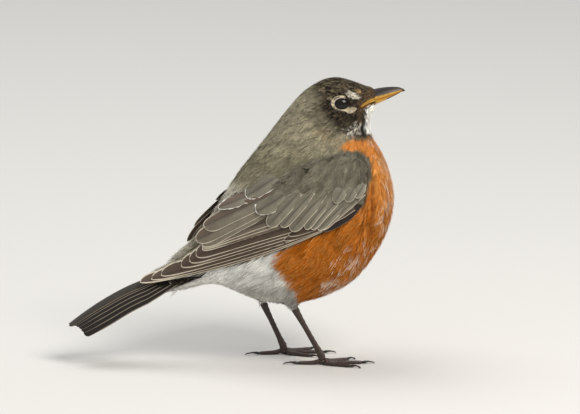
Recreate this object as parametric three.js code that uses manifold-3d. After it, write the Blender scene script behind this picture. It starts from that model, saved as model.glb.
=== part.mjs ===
// A life-size american robin, standing and looking along +X, as a museum would show it.
// Millimetres, +Z up, +Y to the bird's left; the floor is z = 0.
// The body is one loft over a row of ribs, parted into head, neck, chest, abdomen and rump.
// The folded wings and the tail are thin curved shells that lie in seats cut from the body.

import * as THREE from "three";
import { mergeVertices } from "three/addons/utils/BufferGeometryUtils.js";
import Module from "manifold-3d";

const wasm = await Module();
wasm.setup();

// ---------------------------------------------------------------- driving sizes

const GAP = 0.3;                // clearance between neighbouring parts
const SIDES = { left: 1, right: -1 };

// Each rib spans the body from the back line to the breast line in the middle plane.
const RIBS = [
  { back: [76.8, 152.9], front: [77.6, 144.9], halfWidth: 4.6 },   // feathers round the bill
  { back: [66.8, 157.2], front: [74.2, 135.8], halfWidth: 11.6 },  // brow and chin
  { back: [55.1, 160.2], front: [74.4, 130.0], halfWidth: 14.6 },  // crown and throat
  { back: [44.5, 157.0], front: [75.2, 126.6], halfWidth: 15.6 },
  { back: [34.5, 149.7], front: [77.5, 123.2], halfWidth: 17.0 },  // nape
  { back: [24.5, 137.4], front: [81.4, 117.2], halfWidth: 21.5 },  // neck
  { back: [13.9, 122.8], front: [86.6, 103.8], halfWidth: 28.5 },  // shoulders
  { back: [2.8, 108.8], front: [87.6, 86.0], halfWidth: 33.0 },
  { back: [-6.6, 94.5], front: [81.6, 67.6], halfWidth: 34.5 },    // fullest part of the breast
  { back: [-13.6, 82.6], front: [66.4, 46.6], halfWidth: 32.0 },
  { back: [-20.6, 72.4], front: [43.6, 35.3], halfWidth: 26.0 },   // vent
  { back: [-28.0, 64.6], front: [17.8, 33.6], halfWidth: 19.0 },   // rump
  { back: [-36.2, 57.2], front: [-9.6, 45.2], halfWidth: 12.0 },
  { back: [-47.8, 50.8], front: [-33.4, 39.8], halfWidth: 7.8 },   // end of the tail coverts
];
const BODY_PARTS = [
  { name: "head", from: 0, to: 4.2, steps: 14 },
  { name: "neck", from: 4.2, to: 5.9, steps: 4 },
  { name: "chest", from: 5.9, to: 8.2, steps: 6 },
  { name: "abdomen", from: 8.2, to: 10.7, steps: 7 },
  { name: "rump", from: 10.7, to: 13, steps: 7 },
];
const PART_CUT = 0.024;         // width of the cut between body parts, in stations
const BODY_SIDES = 24;
const BODY_ROUNDNESS = 2.15;    // superellipse exponent of a rib's outline
const WIDEST_AT = 0.53;         // share of a rib from the back where it is widest

const EYE = { x: 57.7, z: 147.6, radius: 4.6, proud: 1.5 };

// The bill, measured from its base at the feathers out to its tip.
const BILL_BASE_X = 77.3;       // at the cutting edge
const BILL_SLANT = 0.1;         // how far the base leans back for each millimetre up
const BILL_EDGE_Z = 147.5;      // height of the cutting edge at the base
const BILL_RISE = 4.9;          // how far the cutting edge climbs to the tip
const BILL_HALF_WIDTH = 3.9;
const UPPER_BILL = { depth: 5.7, length: 16.3, taper: 0.72 };
const LOWER_BILL = { depth: 3.0, length: 15.4, taper: 1.0 };
const BILL_TIP_SIZE = 0.4;
const BILL_FLAT = 0.04;         // how nearly flat the face at the cutting edge is

// Stations of the folded wing seen from the side: its upper and its lower edge.
const WING_EDGES = [
  { upper: [65.0, 121.6], lower: [72.4, 114.4] },   // bend of the wing
  { upper: [50.2, 120.6], lower: [71.4, 103.4] },
  { upper: [35.4, 114.6], lower: [66.6, 93.0] },
  { upper: [20.2, 106.2], lower: [56.4, 85.4] },
  { upper: [5.6, 97.8], lower: [40.8, 77.6] },
  { upper: [-8.4, 89.4], lower: [22.2, 71.0] },
  { upper: [-17.6, 81.4], lower: [3.8, 63.9] },
  { upper: [-23.0, 73.0], lower: [-11.8, 58.0] },   // ends of the tertials
  { upper: [-28.4, 63.6], lower: [-23.4, 54.0] },
  { upper: [-39.2, 56.2], lower: [-36.1, 50.4] },
  { upper: [-55.6, 48.4], lower: [-55.0, 46.8] },   // tip of the longest primary
];
const WING_COVER = 1.9;         // how far the wing stands out from the flank
const WING_THICK = { bend: 3.6, tip: 1.2 };
const WING_NEAREST = { front: 14.5, tip: 7.0 };    // least distance from the middle plane
const WING_COVERTS_END = 4.5;   // station where the coverts give way to the flight feathers
const WING_TERTIALS_END = 7.35;
const WING_CUT = 0.025;         // cut behind the coverts, in stations
const PRIMARY_SHARE = 0.74;     // share of the wing's height above the primaries
const SPLIT_GAP = 0.8;          // between the tertials and the primaries
const PRIMARY_CLOSING = { from: 6.5, to: 7.8 };     // stations where the primaries take the full height

const TAIL = {
  root: [-31.0, 57.4], middle: [-58.5, 44.6], tip: [-93.6, 22.2],   // ridge in the middle plane
  rootHalfWidth: 6.4, tipHalfWidth: 12.4, rootDrop: 3.6, tipDrop: 6.4, thick: 1.6, rounding: 7.5,
};

const LEGS = {
  right: { hip: [24, 58], ankle: [30.8, 33.5], foot: [47.0, 4.0] },
  left: { hip: [12, 56], ankle: [15.4, 30.6], foot: [27.4, 4.0] },
};
const LEG_SPREAD = { hip: 15.5, ankle: 13.5, foot: 13.5 };
const THIGH_RADIUS = { hip: 11.0, ankle: 2.6 };
const THIGH_SWELL = 0.8;        // under 1, the thigh narrows soon below the hip
const TARSUS_RADIUS = { ankle: 2.05, shank: 1.35, foot: 1.7 };
const TARSUS_ENDS = { ankle: 0.6, foot: 0.9 };      // left free below the thigh and above the foot
const TARSUS_KNOBS = { ankle: 0.3, foot: 0.25 };    // share of its length that swells at each end

const BALL = { long: 2.1, wide: 3.3, high: 1.85, lift: 1.7 };   // where the toes meet
const TOE_RADIUS = { root: 1.3, tip: 1.05 };
const TOE_SINK = 0.25;          // how deep a toe's pad is pressed flat
const TOE_START = 2.5;          // where a toe starts, in front of or behind the middle of the foot
const CLAW_RADIUS = 0.75;
const CLAW_TIP_RADIUS = 0.28;
const CLAW_ARCH = 2.1;
const TOE_DIP = { rise: 0.7, along: 0.22 };         // a toe comes down from the foot in this share of it
const CLAW_TOP = { rise: 0.1, along: 0.6 };
const TOES = [
  { name: "inner_toe", turn: 26, aside: 2.9, length: 13.0, claw: 5.5 },
  { name: "middle_toe", turn: 0, aside: 0, length: 20.0, claw: 6.5 },
  { name: "outer_toe", turn: -24, aside: -2.9, length: 14.0, claw: 5.5 },
  { name: "hind_toe", turn: 176, aside: 0, length: 11.0, claw: 8.0 },
];

const COLOUR = {
  crown: "#37322e", back: "#6f6a60", orange: "#b9622b", vent: "#b9b6ae", grey: "#67625a",
  coverts: "#6f695f", tertials: "#6a6257", primaries: "#4b4137", tail: "#3d342e",
  horn: "#4a4238", yellow: "#b98b35", leg: "#3a2c27", claw: "#241c19", eye: "#0f0c0b",
};

// ---------------------------------------------------------------- shared helpers

const material = (color, roughness) => new THREE.MeshStandardMaterial({ color, roughness, metalness: 0 });

function signedVolume(geometry) {
  const { position } = geometry.attributes;
  const corners = [new THREE.Vector3(), new THREE.Vector3(), new THREE.Vector3()];
  let volume = 0;
  for (let i = 0; i < geometry.index.count; i += 3) {
    corners.forEach((corner, j) => corner.fromBufferAttribute(position, geometry.index.getX(i + j)));
    volume += corners[0].dot(corners[1].cross(corners[2]));
  }
  return volume;
}

// Moves every vertex of a stock three.js shape to its place, and returns it welded and facing out.
function reshaped(geometry, place) {
  const { position } = geometry.attributes;
  for (let i = 0; i < position.count; i += 1) {
    const placed = place(new THREE.Vector3().fromBufferAttribute(position, i));
    position.setXYZ(i, placed.x, placed.y, placed.z);
  }
  geometry.deleteAttribute("normal");
  geometry.deleteAttribute("uv");
  const welded = mergeVertices(geometry, 1e-4);
  if (signedVolume(welded) < 0) {
    welded.setIndex([...welded.index.array].reverse());
  }
  return welded;
}

function toSolid(geometry) {
  const vertProperties = new Float32Array(geometry.attributes.position.array);
  const triVerts = new Uint32Array(geometry.index.array);
  return new wasm.Manifold(new wasm.Mesh({ numProp: 3, vertProperties, triVerts }));
}

function toGeometry(solid) {
  const { vertProperties, triVerts } = solid.getMesh();
  const geometry = new THREE.BufferGeometry();
  geometry.setAttribute("position", new THREE.BufferAttribute(vertProperties, 3));
  geometry.setIndex(new THREE.BufferAttribute(triVerts, 1));
  return geometry;
}

const { lerp, clamp, smoothstep, degToRad } = THREE.MathUtils;

// A smooth line through stations, read by station number, as in 0 .. last.
function stationLine(points) {
  const curve = new THREE.CatmullRomCurve3(points.map(([x, z]) => new THREE.Vector3(x, 0, z)));
  const last = points.length - 1;
  return (station) => curve.getPoint(clamp(station / last, 0, 1));
}

// A round bar along a curve whose radius changes along its length, with a facet underneath.
function taperedBar(curve, radiusAt, around, steps) {
  const frames = curve.computeFrenetFrames(steps, false);
  const bar = new THREE.CylinderGeometry(1, 1, 1, around, steps, false, Math.PI / around);
  return reshaped(bar, ({ x, y, z }) => {
    const step = Math.round((y + 0.5) * steps);
    const radius = radiusAt(step / steps);
    return curve.getPointAt(step / steps)
      .addScaledVector(frames.normals[step], x * radius)
      .addScaledVector(frames.binormals[step], z * radius);
  });
}

// ---------------------------------------------------------------- body

const backLine = stationLine(RIBS.map((rib) => rib.back));
const frontLine = stationLine(RIBS.map((rib) => rib.front));
const widthLine = stationLine(RIBS.map((rib) => [rib.halfWidth, 0]));
const widestPower = Math.log(WIDEST_AT) / Math.log(0.5);

function roundedShare(value, exponent) {
  return Math.sign(value) * Math.abs(value) ** exponent;
}

// The body's surface: sideways and upward run over a unit circle at each station.
function bodyPoint(station, sideways, upward) {
  const across = roundedShare(sideways, 2 / BODY_ROUNDNESS);
  const height = roundedShare(upward, 2 / BODY_ROUNDNESS);
  const share = ((1 - height) / 2) ** widestPower;
  const point = backLine(station).lerp(frontLine(station), share);
  point.y = across * widthLine(station).x;
  return point;
}

function bodyPart({ from, to, steps }, isFirst, isLast) {
  const start = from + (isFirst ? 0 : PART_CUT / 2);
  const end = to - (isLast ? 0 : PART_CUT / 2);
  return reshaped(new THREE.CylinderGeometry(1, 1, 1, BODY_SIDES, steps), ({ x, y, z }) => (
    bodyPoint(lerp(start, end, y + 0.5), x, z)));
}

const HALVINGS = 24;            // steps of the search for a place's station

// How far out the body's side lies at a place of the middle plane.
function flankAt(x, z) {
  let low = 0;
  let high = RIBS.length - 1;
  const behind = (station) => {
    const back = backLine(station);
    const front = frontLine(station);
    return (front.x - back.x) * (z - back.z) - (front.z - back.z) * (x - back.x) < 0;
  };
  for (let i = 0; i < HALVINGS; i += 1) {
    const middle = (low + high) / 2;
    if (behind(middle)) low = middle;
    else high = middle;
  }
  const back = backLine(low);
  const front = frontLine(low);
  const span = new THREE.Vector3().subVectors(front, back);
  const share = clamp(new THREE.Vector3(x, 0, z).sub(back).dot(span) / span.lengthSq(), 0, 1);
  const height = 1 - 2 * share ** (1 / widestPower);
  const fullness = Math.max(0, 1 - Math.abs(height) ** BODY_ROUNDNESS) ** (1 / BODY_ROUNDNESS);
  return fullness * widthLine(low).x;
}

// ---------------------------------------------------------------- wings

const upperEdge = stationLine(WING_EDGES.map((edge) => edge.upper));
const lowerEdge = stationLine(WING_EDGES.map((edge) => edge.lower));
const WING_LAST = WING_EDGES.length - 1;

// A point of the folded wing: station along it, share down it, depth 0 outside and 1 inside.
function wingPoint(side, station, share, depth, grow) {
  const point = upperEdge(station).lerp(lowerEdge(station), share);
  const towardsTip = clamp(station / WING_LAST, 0, 1);
  const nearest = lerp(WING_NEAREST.front, WING_NEAREST.tip, towardsTip);
  const outer = Math.max(flankAt(point.x, point.z), 0) + WING_COVER;
  const lifted = Math.cbrt(outer ** 3 + nearest ** 3);
  const thick = lerp(WING_THICK.bend, WING_THICK.tip, towardsTip);
  point.y = side * (lifted - thick * depth + grow * (1 - 2 * depth));
  return point;
}

// The share of the wing's height where the primaries begin, closing to 0 past the tertials.
function primaryLine(station) {
  return PRIMARY_SHARE * (1 - smoothstep(station, PRIMARY_CLOSING.from, PRIMARY_CLOSING.to));
}

function wingShell(side, { from, to, steps, rows, top, bottom }, grow = 0) {
  return reshaped(new THREE.BoxGeometry(1, 1, 1, steps, rows, 1), ({ x, y, z }) => {
    const station = lerp(from, to, x + 0.5);
    const height = upperEdge(station).distanceTo(lowerEdge(station));
    const spread = grow / height;
    const share = lerp(top(station, height) - spread, bottom(station, height) + spread, y + 0.5);
    return wingPoint(side, station, share, z + 0.5, grow);
  });
}

const WING_PARTS = {
  coverts: { from: 0, to: WING_COVERTS_END, steps: 10, rows: 7, top: () => 0, bottom: () => 1 },
  tertials: {
    from: WING_COVERTS_END + WING_CUT, to: WING_TERTIALS_END, steps: 8, rows: 5,
    top: () => 0, bottom: (station, height) => primaryLine(station) - SPLIT_GAP / height,
  },
  primaries: {
    from: WING_COVERTS_END + WING_CUT, to: WING_LAST, steps: 14, rows: 4,
    top: primaryLine, bottom: () => 1,
  },
};
const WING_SEAT = { from: -0.02, to: WING_LAST, steps: 20, rows: 6, top: () => 0, bottom: () => 1 };
const SEAT_CLEARANCE = 0.35;

// ---------------------------------------------------------------- tail

const tailRidge = new THREE.QuadraticBezierCurve3(
  new THREE.Vector3(TAIL.root[0], 0, TAIL.root[1]),
  new THREE.Vector3(TAIL.middle[0], 0, TAIL.middle[1]),
  new THREE.Vector3(TAIL.tip[0], 0, TAIL.tip[1]),
);

const TAIL_TIP_POWER = 4;       // how squarely the tail ends

function tailShell(grow = 0) {
  const length = tailRidge.getLength();
  return reshaped(new THREE.BoxGeometry(1, 1, 1, 12, 10, 1), ({ x, y, z }) => {
    const across = y * 2;
    const reach = 1 - (TAIL.rounding / length) * across ** TAIL_TIP_POWER;
    const along = (x + 0.5) * reach;
    const point = tailRidge.getPointAt(along);
    const tangent = tailRidge.getTangentAt(along);
    const down = new THREE.Vector3(-tangent.z, 0, tangent.x);
    const drop = lerp(TAIL.rootDrop, TAIL.tipDrop, along) * across ** 2;
    point.addScaledVector(down, drop + (z < 0 ? TAIL.thick + grow : -grow));
    point.y = across * (lerp(TAIL.rootHalfWidth, TAIL.tipHalfWidth, along) + grow);
    return point;
  });
}

// ---------------------------------------------------------------- bill

// One half of the bill: an arch over the cutting edge, narrowing to the tip.
function billHalf(direction, { depth, length, taper }) {
  return reshaped(new THREE.CylinderGeometry(1, 1, 1, 12, 8), ({ x, y, z }) => {
    const along = y + 0.5;
    const left = Math.max(0, 1 - along ** (1 / taper)) ** taper;
    const width = lerp(BILL_TIP_SIZE, BILL_HALF_WIDTH, left);
    const height = lerp(BILL_TIP_SIZE, depth, left);
    const arch = z > 0 ? z * height : z * BILL_FLAT;
    const rise = direction * (GAP / 2 + BILL_FLAT + arch);
    return new THREE.Vector3(
      BILL_BASE_X + GAP + length * along - BILL_SLANT * rise * (1 - along),
      x * width,
      BILL_EDGE_Z + BILL_RISE * along + rise,
    );
  });
}

// ---------------------------------------------------------------- legs

function legPoint(side, [x, z], spread) {
  return new THREE.Vector3(x, side * spread, z);
}

function thigh(side, leg, grow = 0) {
  const hip = legPoint(side, leg.hip, LEG_SPREAD.hip);
  const ankle = legPoint(side, leg.ankle, LEG_SPREAD.ankle);
  const curve = new THREE.LineCurve3(hip, ankle);
  const radiusAt = (along) => lerp(THIGH_RADIUS.hip, THIGH_RADIUS.ankle, along ** THIGH_SWELL) + grow;
  return taperedBar(curve, radiusAt, 12, 3);
}

function tarsus(side, leg) {
  const ankle = legPoint(side, leg.ankle, LEG_SPREAD.ankle);
  const foot = legPoint(side, leg.foot, LEG_SPREAD.foot);
  const axis = new THREE.Vector3().subVectors(foot, ankle).normalize();
  const start = ankle.clone().addScaledVector(axis, TARSUS_ENDS.ankle);
  const end = foot.clone().addScaledVector(axis, -TARSUS_ENDS.foot);
  const radiusAt = (along) => (
    TARSUS_RADIUS.shank
    + (TARSUS_RADIUS.ankle - TARSUS_RADIUS.shank) * (1 - smoothstep(along, 0, TARSUS_KNOBS.ankle))
    + (TARSUS_RADIUS.foot - TARSUS_RADIUS.shank) * smoothstep(along, 1 - TARSUS_KNOBS.foot, 1));
  return taperedBar(new THREE.LineCurve3(start, end), radiusAt, 8, 6);
}

// A toe or claw is laid on the floor and its pad is pressed flat at z = 0.
function pressedFlat(geometry) {
  return reshaped(geometry, (point) => point.setZ(Math.max(0, point.z)));
}

// Where a toe lies on the floor: a place at a distance along it from its root, at a height.
function alongToe(side, leg, { turn, aside }) {
  const angle = degToRad(-turn * side);
  const axis = new THREE.Vector3(Math.cos(angle), Math.sin(angle), 0);
  const root = legPoint(side, leg.foot, LEG_SPREAD.foot);
  root.x += Math.sign(axis.x) * TOE_START;
  root.y -= side * aside;
  return (distance, height) => root.clone().addScaledVector(axis, distance).setZ(height);
}

function toe(side, leg, spec) {
  const place = alongToe(side, leg, spec);
  const lying = TOE_RADIUS.root - TOE_SINK;
  const curve = new THREE.CatmullRomCurve3([
    place(0, lying + TOE_DIP.rise),
    place(spec.length * TOE_DIP.along, lying),
    place(spec.length, TOE_RADIUS.tip - TOE_SINK),
  ]);
  const radiusAt = (along) => lerp(TOE_RADIUS.root, TOE_RADIUS.tip, along);
  return pressedFlat(taperedBar(curve, radiusAt, 8, 5));
}

function claw(side, leg, spec) {
  const place = alongToe(side, leg, spec);
  const from = spec.length + GAP;
  const curve = new THREE.QuadraticBezierCurve3(
    place(from, TOE_RADIUS.tip - TOE_SINK + CLAW_TOP.rise),
    place(from + spec.claw * CLAW_TOP.along, CLAW_ARCH),
    place(from + spec.claw, CLAW_TIP_RADIUS),
  );
  const radiusAt = (along) => lerp(CLAW_RADIUS, CLAW_TIP_RADIUS, along);
  return pressedFlat(taperedBar(curve, radiusAt, 6, 4));
}

// The ball of the foot, under the shank and behind the toes' roots.
function ball(side, leg) {
  const foot = legPoint(side, leg.foot, LEG_SPREAD.foot);
  return pressedFlat(reshaped(new THREE.SphereGeometry(1, 10, 6), ({ x, y, z }) => (
    new THREE.Vector3(foot.x + x * BALL.long, foot.y + y * BALL.wide, BALL.lift + z * BALL.high))));
}

// ---------------------------------------------------------------- assembly

const robin = new THREE.Group();

function add(name, geometry, look) {
  const mesh = new THREE.Mesh(geometry, look);
  mesh.name = name;
  robin.add(mesh);
}

function eyeBall(side, grow = 0) {
  const centre = flankAt(EYE.x, EYE.z) + EYE.proud - EYE.radius;
  return reshaped(new THREE.SphereGeometry(EYE.radius + grow, 16, 10), (point) => (
    point.add(new THREE.Vector3(EYE.x, side * centre, EYE.z))));
}

function addBody() {
  const looks = {
    head: material(COLOUR.crown, 0.85), neck: material(COLOUR.back, 0.85),
    chest: material(COLOUR.orange, 0.85), abdomen: material(COLOUR.orange, 0.85),
    rump: material(COLOUR.vent, 0.85),
  };
  const seats = Object.entries(SIDES).flatMap(([name, side]) => [
    wingShell(side, WING_SEAT, SEAT_CLEARANCE),
    eyeBall(side, GAP),
    thigh(side, LEGS[name], GAP),
  ]);
  seats.push(tailShell(GAP));
  BODY_PARTS.forEach((part, i) => {
    const whole = toSolid(bodyPart(part, i === 0, i === BODY_PARTS.length - 1));
    const cut = seats.reduce((solid, seat) => solid.subtract(toSolid(seat)), whole);
    add(part.name, toGeometry(cut), looks[part.name]);
  });
}

function addWings() {
  for (const [name, side] of Object.entries(SIDES)) {
    for (const [part, range] of Object.entries(WING_PARTS)) {
      add(`wing_${name}_${part}`, wingShell(side, range), material(COLOUR[part], 0.75));
    }
  }
}

function addTail() {
  const wings = Object.values(SIDES).map((side) => toSolid(wingShell(side, WING_SEAT, SEAT_CLEARANCE)));
  const cut = wings.reduce((solid, wing) => solid.subtract(wing), toSolid(tailShell()));
  add("tail", toGeometry(cut), material(COLOUR.tail, 0.7));
}

function addHeadParts() {
  add("upper_bill", billHalf(1, UPPER_BILL), material(COLOUR.horn, 0.4));
  add("lower_bill", billHalf(-1, LOWER_BILL), material(COLOUR.yellow, 0.4));
  for (const [name, side] of Object.entries(SIDES)) {
    add(`eye_${name}`, eyeBall(side), material(COLOUR.eye, 0.05));
  }
}

function addLegs() {
  for (const [name, side] of Object.entries(SIDES)) {
    const leg = LEGS[name];
    add(`thigh_${name}`, thigh(side, leg), material(COLOUR.vent, 0.85));
    add(`tarsus_${name}`, tarsus(side, leg), material(COLOUR.leg, 0.5));
    add(`foot_${name}`, ball(side, leg), material(COLOUR.leg, 0.5));
    for (const spec of TOES) {
      add(`${spec.name}_${name}`, toe(side, leg, spec), material(COLOUR.leg, 0.5));
      add(`${spec.name}_claw_${name}`, claw(side, leg, spec), material(COLOUR.claw, 0.35));
    }
  }
}

addBody();
addWings();
addTail();
addHeadParts();
addLegs();

export default robin;
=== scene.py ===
import math

import bmesh
import bpy
import numpy as np
from mathutils import Matrix, Vector
from mathutils.bvhtree import BVHTree


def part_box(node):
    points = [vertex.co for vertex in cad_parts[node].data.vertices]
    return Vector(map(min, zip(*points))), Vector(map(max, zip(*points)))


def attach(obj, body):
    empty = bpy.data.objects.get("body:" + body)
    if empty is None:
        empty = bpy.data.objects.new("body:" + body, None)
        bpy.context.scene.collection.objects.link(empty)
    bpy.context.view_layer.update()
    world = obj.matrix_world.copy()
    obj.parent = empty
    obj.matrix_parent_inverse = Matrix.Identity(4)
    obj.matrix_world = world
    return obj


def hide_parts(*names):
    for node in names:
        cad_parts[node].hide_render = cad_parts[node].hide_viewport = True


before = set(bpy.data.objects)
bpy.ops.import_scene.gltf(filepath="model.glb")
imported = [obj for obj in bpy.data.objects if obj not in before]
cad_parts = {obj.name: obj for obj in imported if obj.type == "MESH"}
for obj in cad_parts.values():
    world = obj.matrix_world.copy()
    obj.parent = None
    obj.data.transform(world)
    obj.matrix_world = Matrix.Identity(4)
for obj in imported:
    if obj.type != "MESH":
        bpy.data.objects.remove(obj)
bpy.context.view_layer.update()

# All sizes are in millimetres until a mesh is made. +X is forward, +Y the bird's left, +Z up.
MM = 0.001
rng = np.random.default_rng(7)

SIDES = {"left": 1, "right": -1}
FLESH = ["head", "neck", "chest", "abdomen", "rump", "thigh_left", "thigh_right"]
WING_PARTS = ["coverts", "tertials", "primaries"]

# ---- view

FRAME_WIDTH_PX = 580
MM_PER_PX = 0.555
VIEW_AZIMUTH = -4.0             # degrees, a little from behind
VIEW_ELEVATION = 12.0
VIEW_DISTANCE = 4000.0
VIEW_TARGET = (30.0, 0.0, 86.9)
SENSOR_WIDTH = 36.0

# ---- plumage sizes

GROW = 0.35                     # closes the cuts between the solids before they are made one skin
SKIN_VOXEL, SKIN_SMOOTHING = 0.9, 10
SKIN_PAINTED_SHADE = 0.65              # the skin's colours beside the coat's, darkened as painted shade between the feathers
SKIN_CHANCE = 0.2               # the roll of the dice that its markings are read at
WELD = 1e-6                     # in metres: corners nearer than this are one
COAT_DEPTH = {"face": 0.8, "head": 1.3, "body": 2.3}
LORES_SLIMMER = 0.2             # the face narrows this much between the eye and the bill
EYE_CENTRE = (57.6, 148.0)      # in the side view
EYE_SKIN_OUT = 12.5             # how far out the skin round the eyes lies
EYE_PLUG, EYE_PLUG_REACH = (57.7, 10.6, 147.6), (6.5, 3.4, 6.0)
BILL_ROOT = np.array([79.0, 0.0, 149.5])
TAIL_ROOT_FAR = np.array([-95.0, 0.0, 24.0])

# ---- colours, sRGB

INK = {
    "hood": "#1f1b17", "hood_brown": "#4d4336", "crown_fringe": "#84775f", "cheek_fringe": "#665b4a",
    "nape": "#8a826c", "nape_fringe": "#b9af92", "collar": "#a98a66",
    "mantle": "#7e7760", "mantle_fringe": "#9d967b",
    "covert": "#6f6a5b", "covert_fringe": "#8b8573", "covert_grey": "#7d7768",
    "rump": "#b8b09c", "rump_fringe": "#e4decf",
    "orange": "#cf6e1a", "orange_deep": "#94500a", "orange_light": "#e4a257",
    "pale_fringe": "#ebdcc8",
    "lore": "#d3cbb9",
    "vent": "#dcdad3", "vent_grey": "#a19e96", "vent_fringe": "#f1eee8",
    "throat": "#f0ede6", "throat_streak": "#221e1a",
    "white": "#efeadf", "buff": "#ab8c5e", "ring": "#dac8a4", "ring_pale": "#ece1ca", "snout": "#8f6f4c",
    "quill_black_and_shadow": "#261c17", "quill_dark": "#4e4035", "quill_mid": "#6c6153", "quill_brown": "#645446",
    "quill_grey": "#7b7363",
    "margin": "#c8bca7", "margin_white": "#f0eadf", "shaft": "#2e2620",
    "tail": "#1e1916", "tail_top": "#332d25", "tail_margin": "#7d7263",
    "horn": "#221b17", "horn_grey": "#463d36", "yellow": "#b0761d", "yellow_highlight": "#cfa040",
    "leg": "#35271f", "leg_highlight": "#5b4a41", "claw": "#1d1613",
    "gape": "#8f5f24", "eye": "#0a0706", "iris": "#1c110b", "lid": "#1e1916",
    "floor": "#d9d6d0",
}


def linear(hex_colour):
    """sRGB hex to linear red, green and blue."""
    channels = [int(hex_colour[i:i + 2], 16) / 255 for i in (1, 3, 5)]
    return np.array([c / 12.92 if c <= 0.04045 else ((c + 0.055) / 1.055) ** 2.4 for c in channels])


TINT = {name: linear(value) for name, value in INK.items()}


def rgba(name):
    return (*TINT[name], 1.0)


def smooth(value, low, high):
    share = np.clip((np.asarray(value, float) - low) / (high - low), 0, 1)
    return share * share * (3 - 2 * share)


def mixed(first, second, share):
    """A mix of two colours, given as arrays or by name: share is how much of the second shows."""
    first, second = (TINT[one] if isinstance(one, str) else np.asarray(one) for one in (first, second))
    share = np.asarray(share, float)[..., None]
    return first * (1 - share) + second * share


def unit(vectors):
    return vectors / np.maximum(np.linalg.norm(vectors, axis=-1, keepdims=True), 1e-9)


# ---- side drawing

# Markings and wing feathers are laid out in a flat drawing of the right side, seen a little from
# above and behind. Its marks are counted from the left and from the top, at DRAWING_MM each.
DRAWING_MM = 0.555
DRAWING_ORIGIN = (236.0, 361.0)
DRAWING_TURN, DRAWING_TILT = math.radians(4.0), math.radians(12.0)
TURN_COS, TURN_SIN = math.cos(DRAWING_TURN), math.sin(DRAWING_TURN)
TILT_COS, TILT_SIN = math.cos(DRAWING_TILT), math.sin(DRAWING_TILT)


def drawn(points):
    """The marks of the side drawing that points fall on, for the left and right side alike."""
    x, out, z = points[..., 0], np.abs(points[..., 1]), points[..., 2]
    across = x * TURN_COS + out * TURN_SIN
    up = x * TURN_SIN * TILT_SIN - out * TURN_COS * TILT_SIN + z * TILT_COS
    return np.stack([DRAWING_ORIGIN[0] + across / DRAWING_MM, DRAWING_ORIGIN[1] - up / DRAWING_MM], axis=-1)


def lifted(marks, out, side):
    """Points on one side that fall on marks of the drawing, at distances out from the middle plane."""
    out = np.broadcast_to(out, marks.shape[:-1])
    across = (marks[..., 0] - DRAWING_ORIGIN[0]) * DRAWING_MM
    up = (DRAWING_ORIGIN[1] - marks[..., 1]) * DRAWING_MM
    x = (across - out * TURN_SIN) / TURN_COS
    z = (up - x * TURN_SIN * TILT_SIN + out * TURN_COS * TILT_SIN) / TILT_COS
    return np.stack([x, side * out, z], axis=-1)


def depth_in(outline, marks):
    """How deep marks lie inside a closed outline, and less than zero outside."""
    starts = np.array(outline, float)
    edges = np.roll(starts, -1, axis=0) - starts
    off = marks[:, None, :] - starts
    share = np.clip((off * edges).sum(-1) / (edges ** 2).sum(-1), 0, 1)
    away = np.linalg.norm(off - share[..., None] * edges, axis=-1).min(1)
    height = marks[:, None, 1]
    crosses = (starts[:, 1] > height) != (np.roll(starts, -1, axis=0)[:, 1] > height)
    slope = edges[:, 0] / np.where(edges[:, 1] == 0, 1e-9, edges[:, 1])
    left = marks[:, None, 0] < starts[:, 0] + (height - starts[:, 1]) * slope
    odd = (crosses & left).sum(1) % 2 == 1
    return np.where(odd, away, -away)


def within(outline, marks, softness):
    """Share of a marking at each mark, with a soft edge."""
    return smooth(depth_in(outline, marks), -softness, softness)


# ---- meshes

def link(name, mesh, material, replaced=()):
    piece = bpy.data.objects.new(name, mesh)
    bpy.context.scene.collection.objects.link(piece)
    if material is not None:
        mesh.materials.append(material)
    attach(piece, "root")
    if replaced:
        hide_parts(*replaced)
    return piece


def add_colours(mesh, name, colours):
    """A colour at each point."""
    layer = mesh.attributes.new(name, "FLOAT_COLOR", "POINT")
    opaque = np.concatenate([colours, np.ones((len(colours), 1))], axis=1)
    layer.data.foreach_set("color", opaque.astype(np.float32).ravel())


def paint(mesh, colour_at):
    """Paints a mesh by a function of its points and normals."""
    points, normals, _ = mesh_arrays(mesh)
    add_colours(mesh, "paint", colour_at(points, normals))


def settled(shape, name, rounded=True):
    """A mesh of what a bmesh holds. The bmesh is freed."""
    for face in shape.faces:
        face.smooth = rounded
    mesh = bpy.data.meshes.new(name)
    shape.to_mesh(mesh)
    shape.free()
    return mesh


def joined(name, meshes):
    """One mesh of several, which are used up."""
    whole = bmesh.new()
    for mesh in meshes:
        whole.from_mesh(mesh)
        bpy.data.meshes.remove(mesh)
    return settled(whole, name)


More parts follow.
